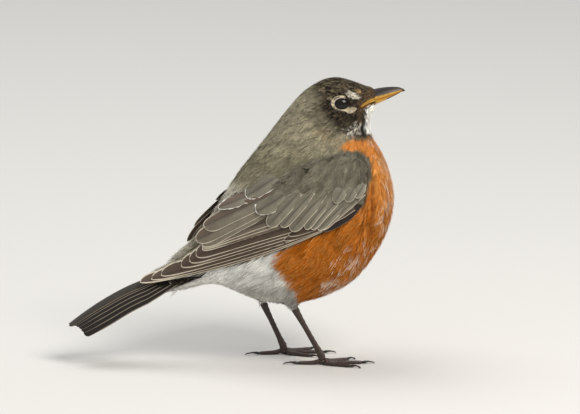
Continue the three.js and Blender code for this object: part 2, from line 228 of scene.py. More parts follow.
def array_mesh(name, points, faces, uv_maps, colours, floats, normals=None):
    """A mesh from arrays: points in mm, faces of 3 or 4 corners, and per-point maps and normals."""
    mesh = bpy.data.meshes.new(name)
    mesh.vertices.add(len(points))
    mesh.vertices.foreach_set("co", (points * MM).astype(np.float32).ravel())
    corners = np.concatenate([group.ravel() for group in faces])
    sizes = np.concatenate([np.full(len(group), group.shape[1]) for group in faces])
    starts = np.concatenate([[0], np.cumsum(sizes)[:-1]])
    mesh.loops.add(len(corners))
    mesh.polygons.add(len(sizes))
    mesh.loops.foreach_set("vertex_index", corners.astype(np.int32))
    mesh.polygons.foreach_set("loop_start", starts.astype(np.int32))
    mesh.polygons.foreach_set("loop_total", sizes.astype(np.int32))
    mesh.update(calc_edges=True)
    mesh.polygons.foreach_set("use_smooth", np.ones(len(sizes), bool))
    for map_name, values in uv_maps.items():
        layer = mesh.uv_layers.new(name=map_name)
        layer.data.foreach_set("uv", values[corners].astype(np.float32).ravel())
    for colour_name, values in colours.items():
        add_colours(mesh, colour_name, values)
    for float_name, values in floats.items():
        layer = mesh.attributes.new(float_name, "FLOAT", "POINT")
        layer.data.foreach_set("value", values.astype(np.float32))
    mesh.validate()
    if normals is not None:
        mesh.normals_split_custom_set_from_vertices(normals)
    return mesh


def read_rows(items, key, width, kind=float):
    """One property of a mesh's points, corners or faces, as rows."""
    flat = np.zeros(len(items) * width, kind)
    items.foreach_get(key, flat)
    return flat.reshape(-1, width)


def mesh_arrays(mesh):
    """Points in mm, point normals and triangles of a mesh."""
    mesh.calc_loop_triangles()
    return (read_rows(mesh.vertices, "co", 3) / MM, read_rows(mesh.vertices, "normal", 3),
            read_rows(mesh.loop_triangles, "vertices", 3, np.int32))


def node_points(name):
    """The corners of a CAD node, in mm."""
    return read_rows(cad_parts[name].data.vertices, "co", 3) / MM


# ---- materials

def add_node(tree, kind, settings=None, links=None):
    """Adds a node, sets its properties or sockets, and links its inputs from other outputs."""
    node = tree.nodes.new("ShaderNode" + kind)
    for key, value in (settings or {}).items():
        if isinstance(key, int) or key in node.inputs:
            node.inputs[key].default_value = value
        else:
            setattr(node, key, value)
    for key, source in (links or {}).items():
        tree.links.new(source, node.inputs[key])
    return node


def attribute(tree, name):
    return add_node(tree, "Attribute", {"attribute_name": name})


def noise(tree, place, detail, roughness=0.5, scale=1.0, stretch=None):
    """Noise from 0 to 1 at a place, which may be stretched first."""
    if stretch:
        place = add_node(tree, "Mapping", {"Scale": stretch}, {"Vector": place}).outputs[0]
    settings = {"Scale": scale, "Detail": detail, "Roughness": roughness}
    return add_node(tree, "TexNoise", settings, {"Vector": place}).outputs[0]


def spread(tree, source, low, high, darkest, lightest):
    """Turns values from low to high into a shade from darkest to lightest."""
    return add_node(tree, "MapRange", {1: low, 2: high, 3: darkest, 4: lightest}, {0: source}).outputs[0]


def product(tree, first, second):
    return add_node(tree, "Math", {"operation": "MULTIPLY"}, {0: first, 1: second}).outputs[0]


def edged(tree, hem, grain, grain_share, starts, ends, inside, outside):
    """One colour inside a feather and another at its hem, parted where the grain frays the hem."""
    frayed = add_node(tree, "Math", {"operation": "MULTIPLY_ADD", 1: grain_share},
                      {0: grain, 2: hem.outputs["Fac"]})
    share = add_node(tree, "MapRange", {"interpolation_type": "SMOOTHSTEP", 1: starts, 2: ends},
                     {0: frayed.outputs[0]})
    return add_node(tree, "Mix", {"data_type": "RGBA"},
                    {0: share.outputs[0], 6: inside.outputs["Color"], 7: outside.outputs["Color"]}).outputs[2]


def finish_colour(tree, shader, colour, shade):
    """Shades a colour and gives it to the shader."""
    shaded = add_node(tree, "VectorMath", {"operation": "SCALE"}, {0: colour, "Scale": shade})
    tree.links.new(shaded.outputs[0], shader.inputs["Base Color"])


def add_bump(tree, shader, height, strength, depth):
    """Relief from a height, its depth in metres."""
    bump = add_node(tree, "Bump", {"Strength": strength, "Distance": depth}, {"Height": height})
    tree.links.new(bump.outputs[0], shader.inputs["Normal"])


def new_material(name, **surface):
    """A Principled material with its steady values set on the shader's own sockets."""
    material = bpy.data.materials.new(name)
    material.use_nodes = True
    tree = material.node_tree
    shader = tree.nodes["Principled BSDF"]
    for socket, value in surface.items():
        shader.inputs[socket.replace("_", " ")].default_value = value
    return material, tree, shader


def coat_material():
    """Body feathers: soft matt barbs; the eye reads fine hair lines and pale fringes, with no gloss; each
    feather is painted darker towards its root, as painted shade where the feathers above overlap it.
    """
    material, tree, shader = new_material("contour_feather_barbs", Roughness=0.95, Specular_IOR_Level=0.08,
                                          Sheen_Weight=0.02, Sheen_Roughness=0.5)
    base, fringe, hem, tint = (attribute(tree, name) for name in ("plumage", "fringe", "hem", "tint"))
    vane = add_node(tree, "UVMap", {"uv_map": "Vane"}).outputs[0]
    along = add_node(tree, "SeparateXYZ", links={0: vane}).outputs["Y"]
    barbs = noise(tree, vane, 3.0, 0.6, stretch=(26.0, 2.0, 1.0))
    colour = edged(tree, hem, barbs, 0.5, 0.6, 1.05, base, fringe)
    shade = product(tree, spread(tree, barbs, 0.3, 0.7, 0.82, 1.16), tint.outputs["Fac"])
    # painted shade: darker towards each feather's root, where the feathers above overlap it
    shade = product(tree, shade, spread(tree, along, 0.0, 0.5, 0.7, 1.0))
    finish_colour(tree, shader, colour, shade)
    return material


def quill_material(name, roughness):
    """Flight feathers: closed vanes of parallel barbs; the eye reads slanting silk lines and a thin edge."""
    material, tree, shader = new_material(name, Roughness=roughness, Specular_IOR_Level=0.2,
                                          Sheen_Weight=0.05)
    base, margin, hem = (attribute(tree, name) for name in ("plumage", "fringe", "hem"))
    barbs = add_node(tree, "UVMap", {"uv_map": "Barb"}).outputs[0]
    lines = noise(tree, barbs, 4.0, 0.65, stretch=(2.4, 0.3, 1.0))
    patches = noise(tree, barbs, 2.0, stretch=(0.16, 0.3, 1.0))
    colour = edged(tree, hem, lines, 0.8, 1.15, 1.6, margin, base)
    shade = product(tree, spread(tree, lines, 0.25, 0.75, 0.78, 1.22),
                    spread(tree, patches, 0.3, 0.7, 0.88, 1.12))
    finish_colour(tree, shader, colour, shade)
    add_bump(tree, shader, lines, 0.3, 0.0001)
    return material


def painted_material(name, scale, depth, **surface):
    """A surface whose markings are painted on its points, broken by a fine grain of its own."""
    material, tree, shader = new_material(name, **surface)
    colour = attribute(tree, "paint").outputs["Color"]
    grain = noise(tree, add_node(tree, "TexCoord").outputs["Object"], 5.0, 0.6, scale)
    finish_colour(tree, shader, colour, spread(tree, grain, 0.3, 0.7, 0.8, 1.2))
    add_bump(tree, shader, grain, 0.4, depth)
    return material


# ---- camera, light and floor

def aimed(name, data, place, way):
    """Puts a camera or a light at a place, looking along a way."""
    item = bpy.data.objects.new(name, data)
    item.location = place
    item.rotation_mode = "QUATERNION"
    item.rotation_quaternion = way.to_track_quat("-Z", "Y")
    bpy.context.scene.collection.objects.link(item)
    return item


def set_camera():
    azimuth, elevation = math.radians(VIEW_AZIMUTH), math.radians(VIEW_ELEVATION)
    back = Vector((math.sin(azimuth) * math.cos(elevation),
                   -math.cos(azimuth) * math.cos(elevation),
                   math.sin(elevation)))
    data = bpy.data.cameras.new("camera")
    data.sensor_width = SENSOR_WIDTH
    data.lens = SENSOR_WIDTH * VIEW_DISTANCE / (FRAME_WIDTH_PX * MM_PER_PX)
    data.clip_start, data.clip_end = 0.01, 100.0
    place = (Vector(VIEW_TARGET) + back * VIEW_DISTANCE) * MM
    bpy.context.scene.camera = aimed("camera", data, place, -back)


def add_light(name, place, size, power, colour):
    data = bpy.data.lights.new(name, "AREA")
    data.size, data.energy, data.color = size, power, colour
    aimed(name, data, place, Vector(LIGHTS_AIM) - Vector(place))


# places and sizes on the stage are in metres
SKY_COLOUR, SKY_STRENGTH = (0.86, 0.9, 0.95, 1.0), 0.55
LIGHTS_AIM = (0.03, 0.0, 0.09)
KEY_LIGHT = {"place": (0.75, -0.95, 1.35), "size": 0.8, "power": 24.0, "colour": (1.0, 0.97, 0.92)}
TOP_LIGHT = {"place": (-0.5, 0.5, 1.6), "size": 1.2, "power": 12.0, "colour": (1.0, 1.0, 1.0)}
FLOOR_REACH = 12.0


def set_stage():
    world = bpy.data.worlds.new("soft_sky")
    bpy.context.scene.world = world
    world.use_nodes = True
    sky = world.node_tree.nodes["Background"]
    sky.inputs["Color"].default_value = SKY_COLOUR
    sky.inputs["Strength"].default_value = SKY_STRENGTH
    add_light("key", **KEY_LIGHT)
    add_light("top", **TOP_LIGHT)
    grid = bmesh.new()
    bmesh.ops.create_grid(grid, x_segments=1, y_segments=1, size=FLOOR_REACH)
    mesh = settled(grid, "floor", rounded=False)
    # a pale matt floor: the eye reads only the soft shadow on it
    material, _, _ = new_material("pale_floor", Base_Color=rgba("floor"), Roughness=0.9,
                                  Specular_IOR_Level=0.2)
    mesh.materials.append(material)
    floor = bpy.data.objects.new("floor", mesh)
    bpy.context.scene.collection.objects.link(floor)
    bpy.context.scene.view_settings.view_transform = "Standard"


# ---- markings

HOOD = [(304, 50), (303, 92), (306, 103), (306, 113), (310, 125), (320, 133), (331, 137), (341, 136),
        (347, 137), (362, 140), (371, 138), (376, 135), (430, 135), (430, 50)]
HOOD_CORE = [(313, 50), (314, 88), (320, 98), (317, 106), (322, 115), (330, 122), (337, 129), (345, 135),
             (350, 137), (362, 140), (371, 138), (376, 135), (430, 135), (430, 50)]
ORANGE = [(340, 149), (345, 143), (352, 141), (360, 140.5), (371, 138), (376, 135), (430, 134.5), (430, 330),
          (302, 330), (296, 293), (286, 281), (279, 272), (273, 262), (271, 256), (290, 247), (310, 240),
          (330, 229), (345, 221), (356, 212), (364, 203), (367, 190), (371, 175), (371, 165), (368, 158),
          (358, 152), (345, 151)]
THROAT = [(363, 113), (368, 107.5), (376, 104), (430, 104), (430, 134.5), (364, 134.5), (362.5, 127)]
WHISKERS = [(344, 131), (351, 127), (356, 123.5), (359.5, 123), (360.5, 134), (354, 136), (347, 137)]
LORE_SPOT = [(345, 93.5), (349.5, 91.5), (355, 94), (359.5, 98), (358.5, 100), (352.5, 100), (348, 97.5)]
BUFF_SPOT = [(355, 90), (359, 90), (360, 94), (357, 95.5)]
EYE_STREAK = [(332, 97.5), (326.5, 99.5), (332, 101.5)]
SNOUT = [(361, 90), (375, 88), (376, 98), (368, 100), (362, 105), (364, 111), (361, 124), (357, 124),
         (357, 103)]
WING_PATCH = [(345, 151), (358, 152), (368, 158), (371, 165), (371, 175), (367, 190), (364, 203), (345, 221),
              (330, 229), (290, 247), (250, 262), (205, 272), (140, 286), (138, 276), (180, 258), (200, 225),
              (222, 206), (248, 188), (280, 176), (310, 160)]
UNDER = [(100, 292), (140, 287), (205, 271), (250, 261), (275, 252), (285, 275), (302, 300), (302, 360),
         (100, 360)]
RUMP = [(100, 200), (232, 180), (246, 190), (222, 208), (200, 232), (180, 258), (140, 283), (100, 300)]
TAIL_SIDE = [(126, 274), (150, 283), (200, 274), (204, 277), (180, 286), (152, 298), (118, 300)]
FROST_FRONT = [(366, 137), (430, 137), (430, 205), (389, 205), (384, 175), (372, 150)]
FROST_LOW = [(322, 285), (336, 262), (356, 247), (373, 232), (382, 205), (430, 195), (430, 330), (318, 330)]
WARM_COLLAR = [(312, 128), (330, 130), (345, 139), (342, 148), (318, 141)]

EYE_MARK, EYE_REACH = (341.3, 104.0), (7.3, 6.05)
# outer edge of the pale ring round the eye: bearing in degrees from the front, and share of the eye's reach
RING_EDGE = {"bearing": [56, 66, 90, 140, 180, 220, 265, 290, 306, 320, 334, 344, 350],
             "share": [1.0, 1.24, 1.31, 1.38, 1.46, 1.4, 1.34, 1.5, 1.9, 2.15, 2.25, 2.2, 1.0]}
RING_GAP_FROM = 312             # above this bearing the ring is dark over the eye's front corner
WING_OUT = 13.0                 # the wing lies at least this far from the middle plane
TAIL_SIDE_BEHIND = -20          # the dark webs at the tail's sides lie behind this
FACE_AHEAD = 64                 # and the bill's seat ahead of this
MOTTLE = 0.62                   # how strongly light and dark strokes break the coat

BILL_MARK = (374.0, 99.0)
STROKES = np.random.default_rng(3).random((90, 64))     # how dark each stroke of the coat is


def streaked(marks, wide, long):
    """Strokes that run away from the bill, from 0 to 1: wide in degrees of bearing, long in marks."""
    off = marks - BILL_MARK
    across = np.degrees(np.arctan2(off[:, 1], off[:, 0])) % 360 / wide
    along = np.hypot(off[:, 0], off[:, 1]) / long
    i, j = across.astype(int), along.astype(int)
    s, t = across - i, along - j
    rows, columns = STROKES.shape

    def at(di, dj):
        return STROKES[(i + di) % rows, (j + dj) % columns]
    return (at(0, 0) * (1 - s) + at(1, 0) * s) * (1 - t) + (at(0, 1) * (1 - s) + at(1, 1) * s) * t


def from_eye(marks):
    """How far marks are from the eye's middle, as a share of its reach."""
    off = (marks - EYE_MARK) / EYE_REACH
    return np.hypot(off[:, 0], off[:, 1])


def ring_edge(bearing):
    """Where the pale ring ends at each bearing, as a share of the eye's reach."""
    return np.interp(bearing, RING_EDGE["bearing"], RING_EDGE["share"], left=0.0, right=0.0)


def ring_share(marks):
    """Share of the pale ring at each mark: broken in front of the eye, widest behind and below it."""
    bearing = np.degrees(np.arctan2(EYE_MARK[1] - marks[:, 1], marks[:, 0] - EYE_MARK[0])) % 360
    gap = (bearing > RING_GAP_FROM) * smooth(-marks[:, 1], -108.6, -107.4)
    return smooth(ring_edge(bearing) - from_eye(marks), -0.08, 0.08) * (1 - gap)


def markings(points, chance, jitter):
    """Base and fringe colours at points: the skin and the coat share them."""
    fine = drawn(points)
    marks = fine + jitter
    out = np.abs(points[:, 1])
    first, second, third = chance.T
    down, ahead = marks[:, 1], marks[:, 0]
    descent = smooth(down, 125.0, 165.0)
    coat = [mixed("nape", "mantle", descent), mixed("nape_fringe", "mantle_fringe", descent)]

    def lay(base, fringe, share, fringe_share=None):
        coat[0] = mixed(coat[0], base, share)
        coat[1] = mixed(coat[1], fringe, share if fringe_share is None else fringe_share)

    # back and rump
    collar = within(WARM_COLLAR, marks, 4.0) * (first > 0.55)
    lay("collar", "collar", collar * 0.2, collar * 0.6)
    lay("rump", "rump_fringe", within(RUMP, marks, 6.0))
    # vent, greyer towards its lower back as painted shade, and the dark webs at the tail's sides
    shaded = smooth(down, 276.0, 294.0) * smooth(ahead, 220.0, 250.0)
    vent = mixed(mixed("vent", "vent_grey", smooth(first, 0.55, 1.0) * 0.6), "vent_grey", shaded * 0.8)
    lay(vent, mixed("vent_fringe", "vent_grey", shaded * 0.6), within(UNDER, marks, 2.0))
    web = within(TAIL_SIDE, fine, 1.2) * (points[:, 0] < TAIL_SIDE_BEHIND)
    lay("tail", mixed("tail_top", "tail_margin", (second > 0.8) * 0.8), web)
    # breast: deeper below, lighter in front, with frosted feathers scattered on it
    low, front = smooth(down, 165.0, 235.0), smooth(ahead, 345.0, 385.0)
    warm = mixed("orange", "orange_deep", np.clip(0.72 * low + 0.4 * (first - 0.5), 0, 1))
    pale = np.clip((1 - low) * 0.45 + front * 0.2 + 0.4 * (second - 0.5), 0, 1)
    warm = mixed(warm, "orange_light", pale)
    frost = np.maximum(within(FROST_FRONT, marks, 6.0) * 0.6, within(FROST_LOW, marks, 6.0) * 0.32)
    frosted = (third < frost).astype(float)
    warm = mixed(warm, "pale_fringe", frosted * 0.3)
    orange = within(ORANGE, marks, 2.2)
    lay(warm, mixed(mixed(warm, "orange_light", 0.4), "pale_fringe", frosted), orange)
    lay("covert", "covert_fringe", within(WING_PATCH, marks, 1.5) * (out > WING_OUT))
    mottle = 1 + MOTTLE * (1 - 0.75 * orange[:, None]) * (streaked(fine, 1.7, 6.0)[:, None] - 0.5)
    coat = [colour * mottle for colour in coat]
    # hood, browner and more streaked on the crown
    crown = smooth(-down, -100.0, -92.0)
    stroke = 0.45 * streaked(fine, 1.2, 5.0) + 0.55 * second
    dark = mixed("hood", "hood_brown", smooth(first, 0.35, 0.9) * 0.8)
    dark = mixed(dark, "crown_fringe", smooth(stroke, 0.52, 0.72) * (0.15 + 0.45 * crown))
    hood_fringe = mixed("cheek_fringe", "crown_fringe", crown)
    hood_fringe = mixed(hood_fringe, "hood", smooth(-stroke, -0.6, -0.4) * 0.9)
    lay(dark, hood_fringe, 0.4 * within(HOOD, marks, 6.0) + 0.6 * within(HOOD_CORE, marks, 5.0))
    # face and throat
    lay("hood_brown", "snout", within(SNOUT, marks, 1.5) * (second > 0.2))
    lay("gape", "gape", within(BILL_SEAT, fine, 0.8) * (points[:, 0] > FACE_AHEAD) * 0.8, 0.0)
    whisker = within(WHISKERS, marks, 1.8) * (third > 0.5)
    lay("lore", "white", whisker * 0.8, whisker)
    streak = 0.05 + 0.25 * smooth(-ahead, -367.0, -364.0)
    chin = mixed("throat", "throat_streak", (third < streak) & (out > 1.5))
    lay(chin, chin, within(THROAT, marks, 1.5) * (1 - smooth(out, 9.0, 11.0)))
    for outline, tint in ((LORE_SPOT, "lore"), (BUFF_SPOT, "buff"), (EYE_STREAK, "ring")):
        lay(tint, tint, within(outline, fine + jitter * 0.8, 0.7) * (third > 0.16))
    ring = ring_share(fine + jitter * 0.3)
    lay("ring", "ring_pale", ring * 0.55, ring)
    return coat


# ---- skin

def coat_depth(points):
    """How deep the coat is over the skin: thin on the face, fuller down the neck and body."""
    from_face = np.linalg.norm(points - np.array([70.0, 0.0, 146.0]), axis=1)
    depth = mixed(np.full((len(points), 1), COAT_DEPTH["face"]), COAT_DEPTH["head"],
                  smooth(from_face, 8.0, 22.0))
    depth = mixed(depth, COAT_DEPTH["body"], smooth(from_face, 24.0, 50.0))
    return depth[:, 0]


def merged_copy(names, grow):
    """Copies of CAD nodes in one bmesh, merged and pushed out a little so that they meet."""
    whole = bmesh.new()
    for name in names:
        part = bmesh.new()
        part.from_mesh(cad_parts[name].data)
        bmesh.ops.remove_doubles(part, verts=part.verts, dist=WELD)
        part.normal_update()
        for vertex in part.verts:
            vertex.co += vertex.normal * grow * MM
        held = settled(part, "held")
        whole.from_mesh(held)
        bpy.data.meshes.remove(held)
    return whole


def remeshed(name, source, voxel, smoothing):
    """One closed surface round a bmesh's solids, smoothed."""
    carrier = bpy.data.objects.new(name, settled(source, name))
    bpy.context.scene.collection.objects.link(carrier)
    remesh = carrier.modifiers.new("one_skin", "REMESH")
    remesh.mode, remesh.voxel_size = "VOXEL", voxel * MM
    ease = carrier.modifiers.new("ease", "SMOOTH")
    ease.factor, ease.iterations = 0.5, smoothing
    shaped = bpy.data.meshes.new_from_object(carrier.evaluated_get(bpy.context.evaluated_depsgraph_get()))
    bpy.data.objects.remove(carrier)
    return shaped


def make_skin():
    arms = [f"wing_{side}_coverts" for side in SIDES]
    flesh = merged_copy(FLESH + arms, GROW)
    for side in SIDES.values():
        # the flesh behind the eye, so that the lids and their feathers lie on it
        place = Matrix.Translation(Vector((EYE_CENTRE[0], side * EYE_PLUG[1], EYE_PLUG[2])) * MM)
        bmesh.ops.create_uvsphere(flesh, u_segments=32, v_segments=20, radius=MM,
                                  matrix=place @ Matrix.Diagonal((*EYE_PLUG_REACH, 1.0)))
    mesh = remeshed("skin", flesh, SKIN_VOXEL, SKIN_SMOOTHING)
    points, normals, _ = mesh_arrays(mesh)
    points = points - normals * (coat_depth(points) + GROW)[:, None]
    slim = smooth(points[:, 0], 63.0, 70.0) * (1 - smooth(points[:, 0], 73.5, 77.0))
    points[:, 1] *= 1 - LORES_SLIMMER * slim
    mesh.vertices.foreach_set("co", (points * MM).astype(np.float32).ravel())
    mesh.update()
    base, _ = markings(points, np.full((len(points), 3), SKIN_CHANCE), np.zeros((len(points), 2)))
    add_colours(mesh, "paint", base * SKIN_PAINTED_SHADE)
    mesh.polygons.foreach_set("use_smooth", np.ones(len(mesh.polygons), bool))
    # the down under the feathers, painted as a darker copy of the coat's markings for painted shade between
    # them: the eye reads it only as a dark matt ground between their tips
    material = painted_material("downy_skin", 1400.0, 0.0002, Roughness=0.9, Specular_IOR_Level=0.2)
    piece = link("skin", mesh, material, FLESH)
    unwrap(piece)
    return piece


def unwrap(piece):
    """Unwraps the skin into charts of its own shape."""
    bpy.ops.object.select_all(action="DESELECT")
    bpy.context.view_layer.objects.active = piece
    piece.select_set(True)
    piece.data.uv_layers.new(name="OFBake")
    bpy.ops.object.mode_set(mode="EDIT")
    bpy.ops.mesh.select_all(action="SELECT")
    bpy.ops.uv.smart_project(angle_limit=math.radians(72), island_margin=0.004)
    bpy.ops.object.mode_set(mode="OBJECT")


class Skin:
    """The skin as arrays, for rooting feathers on it."""

    def __init__(self, piece):
        mesh = piece.data
        self.points, self.normals, self.triangles = mesh_arrays(mesh)
        self.tree = BVHTree.FromPolygons(self.points.tolist(), self.triangles.tolist())
        uv = read_rows(mesh.uv_layers["OFBake"].data, "uv", 2)
        self.uv = uv[read_rows(mesh.loop_triangles, "loops", 3, np.int32)]
        a, b, c = (self.points[self.triangles[:, i]] for i in range(3))
        self.areas = np.linalg.norm(np.cross(b - a, c - a), axis=1) / 2

    def scatter(self, spacing_at, tries):
        """Roots spread over the skin, no two nearer than the local spacing."""
        chosen = rng.choice(len(self.areas), tries, p=self.areas / self.areas.sum())
        r1, r2 = np.sqrt(rng.random(tries)), rng.random(tries)
        shares = np.stack([1 - r1, r1 * (1 - r2), r1 * r2], axis=1)
        corners = self.points[self.triangles[chosen]]
        places = np.einsum("ij,ijk->ik", shares, corners)
        uv = np.einsum("ij,ijk->ik", shares, self.uv[chosen])
        normals = unit(np.einsum("ij,ijk->ik", shares, self.normals[self.triangles[chosen]]))
        spacing = spacing_at(places)
        keep, cells = [], {}
        cell = 1.5
        keys = np.floor(places / cell).astype(int)
        for i in np.nonzero(spacing > 0)[0]:
            gap = spacing[i]
            reach = int(gap // cell) + 1
            kx, ky, kz = keys[i]
            near = [j for dx in range(-reach, reach + 1) for dy in range(-reach, reach + 1)
                    for dz in range(-reach, reach + 1) for j in cells.get((kx + dx, ky + dy, kz + dz), ())]
            if near:
                away = places[near] - places[i]
                if (np.einsum("ij,ij->i", away, away) < gap * gap).any():
                    continue
            keep.append(i)
            cells.setdefault((kx, ky, kz), []).append(i)
        keep = np.array(keep)
        return places[keep], normals[keep], uv[keep]

    def nearest(self, places):
        found, normals = np.empty_like(places), np.empty_like(places)
        for i, place in enumerate(places.tolist()):
            spot, normal, _, _ = self.tree.find_nearest(place)
            found[i], normals[i] = spot, normal
        return found, normals


# ---- lie of the coat

LEG_PULL = (6.0, 26.0)          # nearer an ankle than this, feathers turn down the leg
EYE_TURN = (4.0, 8.5)           # and nearer an eye's middle than this, away from it
EYE_TURN_SHARE = 0.9
OVER_WING_WAY = [-1.1, 0, 0.35]     # the turn of the feathers over the folded wing's front edge


def lie_of_coat(places, ankles):
    """The way feathers lie: away from the bill, towards the tail, round the eyes and down the thighs."""
    from_bill = places - BILL_ROOT
    to_tail = TAIL_ROOT_FAR - places
    way = from_bill / np.sum(from_bill ** 2, axis=1, keepdims=True)
    way = way + to_tail / np.sum(to_tail ** 2, axis=1, keepdims=True)
    way = unit(way)
    way = unit(way + within(OVER_WING, drawn(places), 3.0)[:, None] * OVER_WING_WAY)
    for side in SIDES.values():
        eye = np.array([EYE_CENTRE[0], side * 13.0, EYE_CENTRE[1]])
        off = places - eye
        away = np.linalg.norm(off, axis=1)
        way = way + unit(off) * (EYE_TURN_SHARE * (1 - smooth(away, *EYE_TURN)))[:, None]
    for ankle in ankles:
        off = ankle - places
        pull = 1 - smooth(np.linalg.norm(off, axis=1), *LEG_PULL)
        way = way * (1 - pull[:, None]) + unit(off) * pull[:, None]
    return unit(way)


# ---- tufts

TRACE_STEPS = 4
TUFT_PATCH = 0.003              # a feather's size on the unwrap, at its root's place
LIE_SPREAD = 0.07               # how unevenly feathers lie
LOBE_SPREAD, REACH_SPREAD = 0.10, 0.06      # how unevenly their lobes stand and end
CUP, LEAN = 0.10, 0.06          # how hollow feathers are, and how unevenly they catch the light
OWN_CHANCE = [0.05, 0.16, 0.02]     # how far a lobe's rolls of the dice stray from its feather's
JITTER, LOBE_JITTER = 0.8, 0.5  # how raggedly markings end, by the feather and by the lobe
CONTRAST, HOOD_CONTRAST = 0.17, 0.3     # how much lighter or darker one feather is than another


def tuft_template(lobes, waist, roundness, split):
    """A contour feather as a fan of lobes, closed near its quill and parted beyond the split."""
    keys = ("across", "along", "share", "hem", "lobe")
    corners = {key: [] for key in keys}
    quads, tips = [], []
    rows = (0.0, split * 0.55, split, (1 + split) / 2)
    for i in range(lobes):
        centre = (2 * i + 1) / lobes - 1
        reach = 1 - roundness * abs(centre) ** 2.2
        start = len(corners["across"])
        for row, share in enumerate(rows):
            wide = waist + (1 - waist) * float(smooth(share, -0.1, 0.65))
            half = (1.06 if share <= split else 0.74) / lobes
            for edge in (-1, 1):
                hem = 0.55 * abs(centre + edge / lobes) ** 3 + 0.5 * share ** 3
                for key, value in zip(keys, ((centre + edge * half) * wide, share * reach, share, hem, i)):
                    corners[key].append(value)
            if row:
                a = start + 2 * row
                quads.append((a - 2, a, a + 1, a - 1))
        for key, value in zip(keys, (centre * 0.96, reach, 1.0, 1.0, i)):
            corners[key].append(value)
        tips.append((start + 6, start + 8, start + 7))
    template = {key: np.array(values) for key, values in corners.items()}
    return {**template, "quads": np.array(quads), "tips": np.array(tips), "lobes": lobes}


def traced(skin, roots, normals, lengths, lie):
    """Follows the skin from each root along the coat's lie: centre line, normals and side ways."""
    centres, ups, headings = [roots], [normals], []
    heading = lie(roots) + rng.normal(0, LIE_SPREAD, roots.shape)
    heading = unit(heading - normals * np.sum(heading * normals, axis=1, keepdims=True))
    headings.append(heading)
    step = (lengths / TRACE_STEPS)[:, None]
    for _ in range(TRACE_STEPS):
        spot, normal = skin.nearest(centres[-1] + heading * step)
        ahead = centres[-1] + heading * step
        # past the skin's end a feather runs straight on
        loose = smooth(np.linalg.norm(ahead - spot, axis=1), 0.6, 2.0)[:, None]
        spot = spot * (1 - loose) + ahead * loose
        normal = unit(normal * (1 - loose) + ups[-1] * loose)
        wanted = heading * 0.6 + lie(spot) * 0.4
        heading = unit(wanted - normal * np.sum(wanted * normal, axis=1, keepdims=True))
        centres.append(spot)
        ups.append(normal)
        headings.append(heading)
    centres, ups, headings = (np.stack(group, axis=1) for group in (centres, ups, headings))
    return centres, ups, np.cross(ups, headings)


def lay_tufts(name, skin, roots, normals, uv, sizes, template, lie, material, looks=None):
    """Lays one feather on each root and joins them into one piece."""
    count, corners, lobes = len(roots), len(template["across"]), template["lobes"]
    lengths, half_widths, lifts = sizes
    centres, ups, sides = traced(skin, roots, normals, lengths, lie)
    position = template["along"] * TRACE_STEPS
    low = np.minimum(position.astype(int), TRACE_STEPS - 1)
    share = (position - low)[None, :, None]

    def along_line(line):
        return line[:, low] * (1 - share) + line[:, low + 1] * share

    def per_lobe(spread):
        return rng.normal(0, spread, (count, lobes))[:, template["lobe"]]

    along = template["along"][None]
    free = template["share"][None] ** 2.5
    side = (template["across"][None] + per_lobe(LOBE_SPREAD) * free) * half_widths[:, None]
    cup = CUP * (1 - template["across"][None] ** 2) * half_widths[:, None]
    rise = (0.08 + 0.92 * along ** 0.8 + per_lobe(LOBE_SPREAD) * free) * lifts[:, None] + cup * along
    up, across = unit(along_line(ups)), unit(along_line(sides))
    points = along_line(centres) + across * side[..., None] + up * rise[..., None]
    forward = np.cross(sides[:, -1], ups[:, -1])[:, None, :]
    points = points + forward * (per_lobe(REACH_SPREAD) * free * lengths[:, None])[..., None]
    lean = rng.normal(0, LEAN, (count, 1, 3))
    facing = unit(up + across * (template["across"] * 0.3)[None, :, None] + lean)
    # each lobe takes the marking that lies under its outer third
    seen = points.reshape(count, lobes, -1, 3)[:, :, -3:-1].mean(2).reshape(-1, 3)
    own = rng.normal(0, 1, (count, lobes, 3)) * OWN_CHANCE
    chance = np.clip(rng.random((count, 1, 3)) + own, 0, 1)
    jitter = rng.normal(0, JITTER, (count, 1, 2)) + rng.normal(0, LOBE_JITTER, (count, lobes, 2))
    base, fringe = markings(seen, chance.reshape(-1, 3), jitter.reshape(-1, 2))
    if looks:
        pale = chance.reshape(-1, 3)[:, 2:] > RING_DARKS
        base, fringe = (np.where(pale, TINT[tint], TINT["hood_brown"]) for tint in looks)
    marks = drawn(roots)
    contrast = CONTRAST + (0.0 if looks else HOOD_CONTRAST * within(HOOD, marks, 4.0)[:, None])
    tint = (1 + rng.uniform(-1, 1, (count, 1)) * contrast) * (1 + per_lobe(0.07))
    # painted light: the throat's feathers are painted brighter where the lamps leave the throat in shade
    tint = tint * (1 + THROAT_PAINTED_LIGHT * within(THROAT, marks, 2.0)[:, None])
    line = template["along"] - np.abs(template["across"]) * 0.45
    vane = np.stack([line[None] + rng.random((count, 1)) * 9,
                     np.broadcast_to(template["share"], (count, corners))], axis=-1)
    shape = np.stack([template["across"] * 0.5, template["along"] - 0.5], axis=-1)
    patch = uv[:, None, :] + shape[None] * TUFT_PATCH
    offsets = (np.arange(count) * corners)[:, None, None]
    faces = [(template["quads"][None] + offsets).reshape(-1, 4),
             (template["tips"][None] + offsets).reshape(-1, 3)]
    mesh = array_mesh(
        name, points.reshape(-1, 3), faces,
        {"OFBake": patch.reshape(-1, 2), "Vane": vane.reshape(-1, 2)},
        {"plumage": np.repeat(base, corners // lobes, axis=0),
         "fringe": np.repeat(fringe, corners // lobes, axis=0)},
        {"tint": tint.reshape(-1), "hem": np.tile(template["hem"], count)},
        facing.reshape(-1, 3),
    )
    return link(name, mesh, material)


